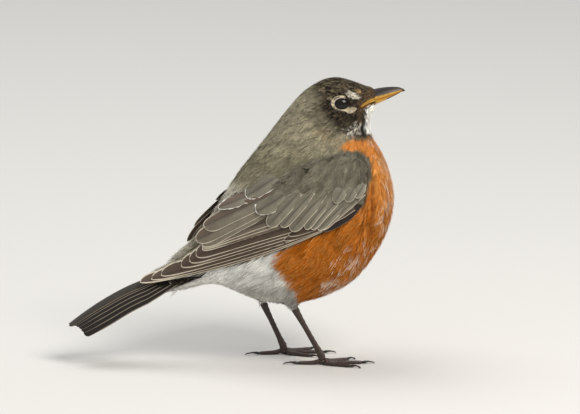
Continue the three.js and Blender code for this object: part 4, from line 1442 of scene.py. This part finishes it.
def spine_of(node, count, start):
    """Centres and radii of slices along a bar-like CAD node, from its end nearer to the start."""
    points = np.unique(node_points(node).round(4), axis=0)
    middle = points.mean(0)
    way = np.linalg.svd(points - middle)[2][0]
    if way @ (start - middle) > 0:
        way = -way
    along = (points - middle) @ way
    edges = np.linspace(along.min(), along.max(), count)
    centres, radii = [], []
    width = (edges[1] - edges[0]) * 0.75
    for edge in edges:
        near = points[np.abs(along - edge) <= width]
        centre = (near.max(0) + near.min(0)) / 2
        centre = centre + way * (edge - (centre - middle) @ way)
        off = near - centre
        off = off - np.outer(off @ way, way)
        centres.append(centre)
        radii.append(np.percentile(np.linalg.norm(off, axis=1), 70))
    return np.array(centres), np.array(radii)


def scaled_bar(name, centres, radii, around, rows, scutes, pads, blunt=0.05):
    """A round bar on a centre line, with overlapping scutes on its upper side and pads below."""
    steps = np.linalg.norm(np.diff(centres, axis=0), axis=1)
    stations = np.concatenate([[0], np.cumsum(steps)]) / steps.sum()
    way = unit(centres[-1] - centres[0])
    up = np.array([0.0, 0.0, 1.0]) if abs(way[2]) < 0.6 else np.array([1.0, 0.0, 0.0])
    side = unit(np.cross(way, up))
    up = np.cross(side, way)

    def place(turn, along):
        angle = turn * 2 * math.pi
        centre = place_on(centres, stations, along)
        radius = np.interp(along, stations, radii)
        front = max(0.0, math.sin(angle))
        radius *= 1 + SCUTE_STEP * front ** 0.5 * (((along * scutes) % 1.0) ** 2 - 0.3)
        radius *= 1 + PAD_SWELL * (1 - front) * -math.cos(along * pads * 2 * math.pi)
        end = min(along, 1 - along) / blunt
        radius *= math.sqrt(max(0.0, 1 - (1 - min(end, 1.0)) ** 2))
        spot = centre + side * math.cos(angle) * radius + up * math.sin(angle) * radius
        spot[2] = max(spot[2], 0.0)
        return spot
    return formed(name, around, rows, place)


TOES = {"inner_toe": 2, "middle_toe": 3, "outer_toe": 4, "hind_toe": 1}     # pads under each
SCUTE_STEP, PAD_SWELL = 0.12, 0.10
SHANK_FULLER = 1.15             # its scutes lie on the flesh
CLAW_SEAT = 1.4                 # how far a claw is set into its toe
FOOT_FLAT = 0.75                # the foot's ball is this much lower than it is wide


def make_legs():
    # horny scales: the eye reads dull ridged bars with a sheen on each ridge, their tops and fronts painted
    # paler as painted highlight
    scale = painted_material("horny_scutes", 1100.0, 0.0001, Roughness=0.45, Specular_IOR_Level=0.45)
    # claws: smoother and darker than the toes, so that each tip catches a point of light
    horn = painted_material("claw_horn", 900.0, 0.00004, Roughness=0.3, Specular_IOR_Level=0.5)

    def leg_colour(_, normals):
        # painted highlight: paler where the surface faces up and forward
        return mixed("leg", "leg_highlight", smooth(normals[:, 2] + normals[:, 0], 0.2, 1.2) * 0.5)

    for name in SIDES:
        low, high = (np.array(corner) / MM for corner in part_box(f"foot_{name}"))
        middle, reach = (low + high) / 2, (high[0] - low[0]) / 2
        ball = bmesh.new()
        bmesh.ops.create_uvsphere(ball, u_segments=24, v_segments=16, radius=reach * MM)
        bmesh.ops.scale(ball, verts=ball.verts, vec=(1.15, 1.0, FOOT_FLAT))
        bmesh.ops.translate(ball, verts=ball.verts, vec=Vector(middle) * MM)
        palm = settled(ball, "palm")
        centres, radii = spine_of(f"tarsus_{name}", 6, middle + [0, 0, 200])
        radii[-1] *= 1.15
        centres, radii = np.vstack([centres, middle]), np.append(radii, radii[-1] * 1.05)
        radii = radii * SHANK_FULLER
        parts = [palm, scaled_bar("shank", centres, radii, 24, 120, 10, 0)]
        claws = []
        for toe, pads in TOES.items():
            centres, radii = spine_of(f"{toe}_{name}", 6, middle)
            claw_centres, claw_radii = spine_of(f"{toe}_claw_{name}", 7, middle)
            root = middle * [0.6, 0.6, 0] + centres[0] * [0.4, 0.4, 1]
            centres = np.vstack([root, centres, claw_centres[:1]])
            radii = np.concatenate([radii[:1], radii * np.linspace(1.08, 0.95, 6), radii[-1:] * 0.8])
            parts.append(scaled_bar(toe, centres, radii, 20, 72, 12 if pads > 2 else 8, pads, 0.07))
            back = unit(claw_centres[0] - claw_centres[1]) * CLAW_SEAT
            claw_centres = np.vstack([claw_centres[:1] + back, claw_centres])
            claw_radii = np.append(claw_radii[:1], claw_radii)
            claws.append(scaled_bar("claw", claw_centres, claw_radii, 14, 32, 0, 0, 0.03))
        leg = joined(f"leg_{name}_scutes", parts)
        paint(leg, leg_colour)
        link(leg.name, leg, scale,
             [f"tarsus_{name}", f"foot_{name}", *[f"{toe}_{name}" for toe in TOES]])
        nails = joined(f"claws_{name}_horn", claws)
        paint(nails, lambda points, _: np.broadcast_to(TINT["claw"], points.shape))
        link(nails.name, nails, horn, [f"{toe}_claw_{name}" for toe in TOES])


# ---- build

set_camera()
set_stage()
skin_piece = make_skin()
skin = Skin(skin_piece)
ankles = [spine_of(f"tarsus_{name}", 6, np.array([0.0, 0.0, 200.0]))[0][0] for name in SIDES]
barbs = coat_material()
lay_coat(skin, ankles, barbs)
lay_eye_ring(skin, barbs)
lay_bristles(skin, barbs)
wing_fit = outer_fit(cad_tree([f"wing_left_{part}" for part in WING_PARTS]), (130, 110), (376, 294), 5)
shoulder_fit = outer_fit(skin.tree, (205, 150), (325, 232), 4)
wing_vanes = quill_material("wing_vane_barbs", 0.62)
for side_name, side_sign in SIDES.items():
    make_wing(side_name, side_sign, wing_fit, shoulder_fit, wing_vanes)
make_tail(quill_material("tail_vane_barbs", 0.55))
make_bill(skin)
make_eyes()
make_legs()
